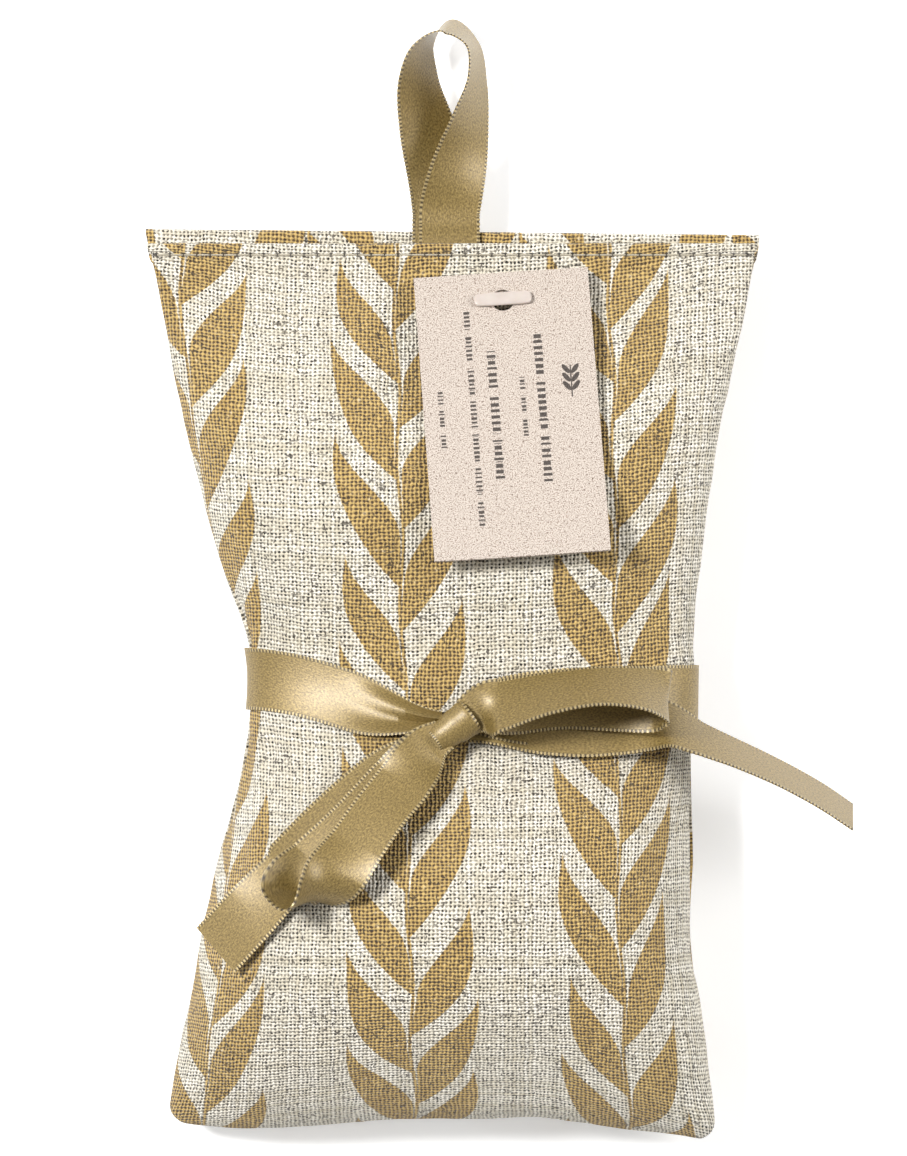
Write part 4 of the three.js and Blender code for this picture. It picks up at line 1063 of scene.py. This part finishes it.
# Out of sight: the cotton threads inside the side and foot seams, and the filling of dried lavender buds,
# which is poured in before the hem is sewn and lies a little inside the cloth.
BUDS_PER_METRE, HEAP_SHARE = 380, (0.94, 0.96, 0.86, 1)
seam_thread = mottled("seam_thread", 0.75, 0.0008, plain(204, 194, 172), plain(242, 236, 222), 0.1)
for node in ("side_seam_thread_left", "side_seam_thread_right", "bottom_seam_thread"):
    dyed(frame["nodes"][node], seam_thread)
lavender, tree, shader = new_finish("dried_lavender", 0.95)
buds = tree.nodes.new("ShaderNodeTexVoronoi")
buds.inputs["Scale"].default_value = BUDS_PER_METRE
tree.links.new(object_spot(tree), buds.inputs["Vector"])
bud = Dye(tree, buds.outputs["Distance"])
# Painted shade: the lavender is darker between the buds, where the relief dips.
colour = blended(tree, bud.ramp(0.1, 0.7), plain(138, 122, 158), plain(74, 66, 62))
tree.links.new(colour, shader.inputs["Base Color"])
raised(tree, shader, bud * -1, 1.2)
filling = frame["nodes"]["lavender_fill"]
bpy.ops.object.select_all(action="DESELECT")
heap = bpy.data.objects.new("lavender_heap", filling.data.copy())
bpy.context.scene.collection.objects.link(heap)
fill_low, fill_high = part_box("lavender_fill")
middle = (fill_low + fill_high) / 2
bpy.context.view_layer.objects.active = heap
heap.select_set(True)
bpy.ops.object.mode_set(mode="EDIT")
bpy.ops.mesh.select_all(action="SELECT")
bpy.ops.mesh.remove_doubles(threshold=1e-7)
bpy.ops.object.mode_set(mode="OBJECT")
bpy.ops.object.shade_smooth_by_angle(angle=math.radians(50))
smaller = Matrix.Translation(middle) @ Matrix.Diagonal(HEAP_SHARE) @ Matrix.Translation(-middle)
heap.data.transform(smaller)
dyed(heap, lavender)
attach(heap, "bag")
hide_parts("lavender_fill")

# Stage: a white table top, one window at the upper left, a softbox at the right, a pale sky that is darker
# overhead and near the horizon, and a camera that looks straight down.
TABLE_WHITE, TABLE_GLOW = (0.93, 0.93, 0.93, 1), 0.34
AIM = (0, 0.05, 0.02)
LAMPS = (("window", (-0.8, 0.42, 1.25), 0.3, 28), ("right_softbox", (1.2, 0.4, 0.9), 0.8, 16))
VIEW_X, VIEW_Y, VIEW_HEIGHT, VIEW_FROM, BAG_TOP, SENSOR = 0.2, 66.2, 231.2, 1500.0, 20.0, 36
bpy.ops.object.select_all(action="DESELECT")
bpy.ops.mesh.primitive_plane_add(size=6, location=(0, 0.06, -0.0004))
table = bpy.context.object
table.name = "table_top"
white, tree, shader = new_finish("white_table", 0.9)
shader.inputs["Base Color"].default_value = TABLE_WHITE
shader.inputs["Emission Color"].default_value = (1, 1, 1, 1)
rays = tree.nodes.new("ShaderNodeLightPath").outputs
seen = Dye(tree, rays["Is Camera Ray"]) + Dye(tree, rays["Is Glossy Ray"])
lifted = (seen + Dye(tree, rays["Is Transmission Ray"])) * TABLE_GLOW
tree.links.new(lifted.socket, shader.inputs["Emission Strength"])
table.data.materials.append(white)

world = bpy.data.worlds.new("studio")
bpy.context.scene.world = world
world.use_nodes = True
tree = world.node_tree
tree.nodes["Background"].inputs["Color"].default_value = (1, 1, 1, 1)
sky = tree.nodes.new("ShaderNodeTexCoord")
upwards = numbers(tree, sky.outputs["Generated"])[2]
glow = upwards.ramp(0.0, 0.35) * (1 - upwards.ramp(0.72, 0.93) * 0.85) * 0.4 + 0.08
tree.links.new(glow.socket, tree.nodes["Background"].inputs["Strength"])
for name, lamp_at, size, power in LAMPS:
    lamp = bpy.data.lights.new(name, "AREA")
    lamp.shape, lamp.size, lamp.energy = "SQUARE", size, power
    holder = bpy.data.objects.new(name, lamp)
    bpy.context.scene.collection.objects.link(holder)
    holder.location = lamp_at
    holder.rotation_euler = (Vector(AIM) - Vector(lamp_at)).to_track_quat("-Z", "Y").to_euler()

lens = bpy.data.cameras.new("camera")
lens.sensor_width, lens.lens = SENSOR, SENSOR * VIEW_FROM / VIEW_HEIGHT
lens.clip_end = 20
camera = bpy.data.objects.new("camera", lens)
bpy.context.scene.collection.objects.link(camera)
camera.location = (VIEW_X * MM, VIEW_Y * MM, (VIEW_FROM + BAG_TOP) * MM)
bpy.context.scene.camera = camera
bpy.context.scene.view_settings.view_transform = "Standard"

bpy.context.view_layer.update()
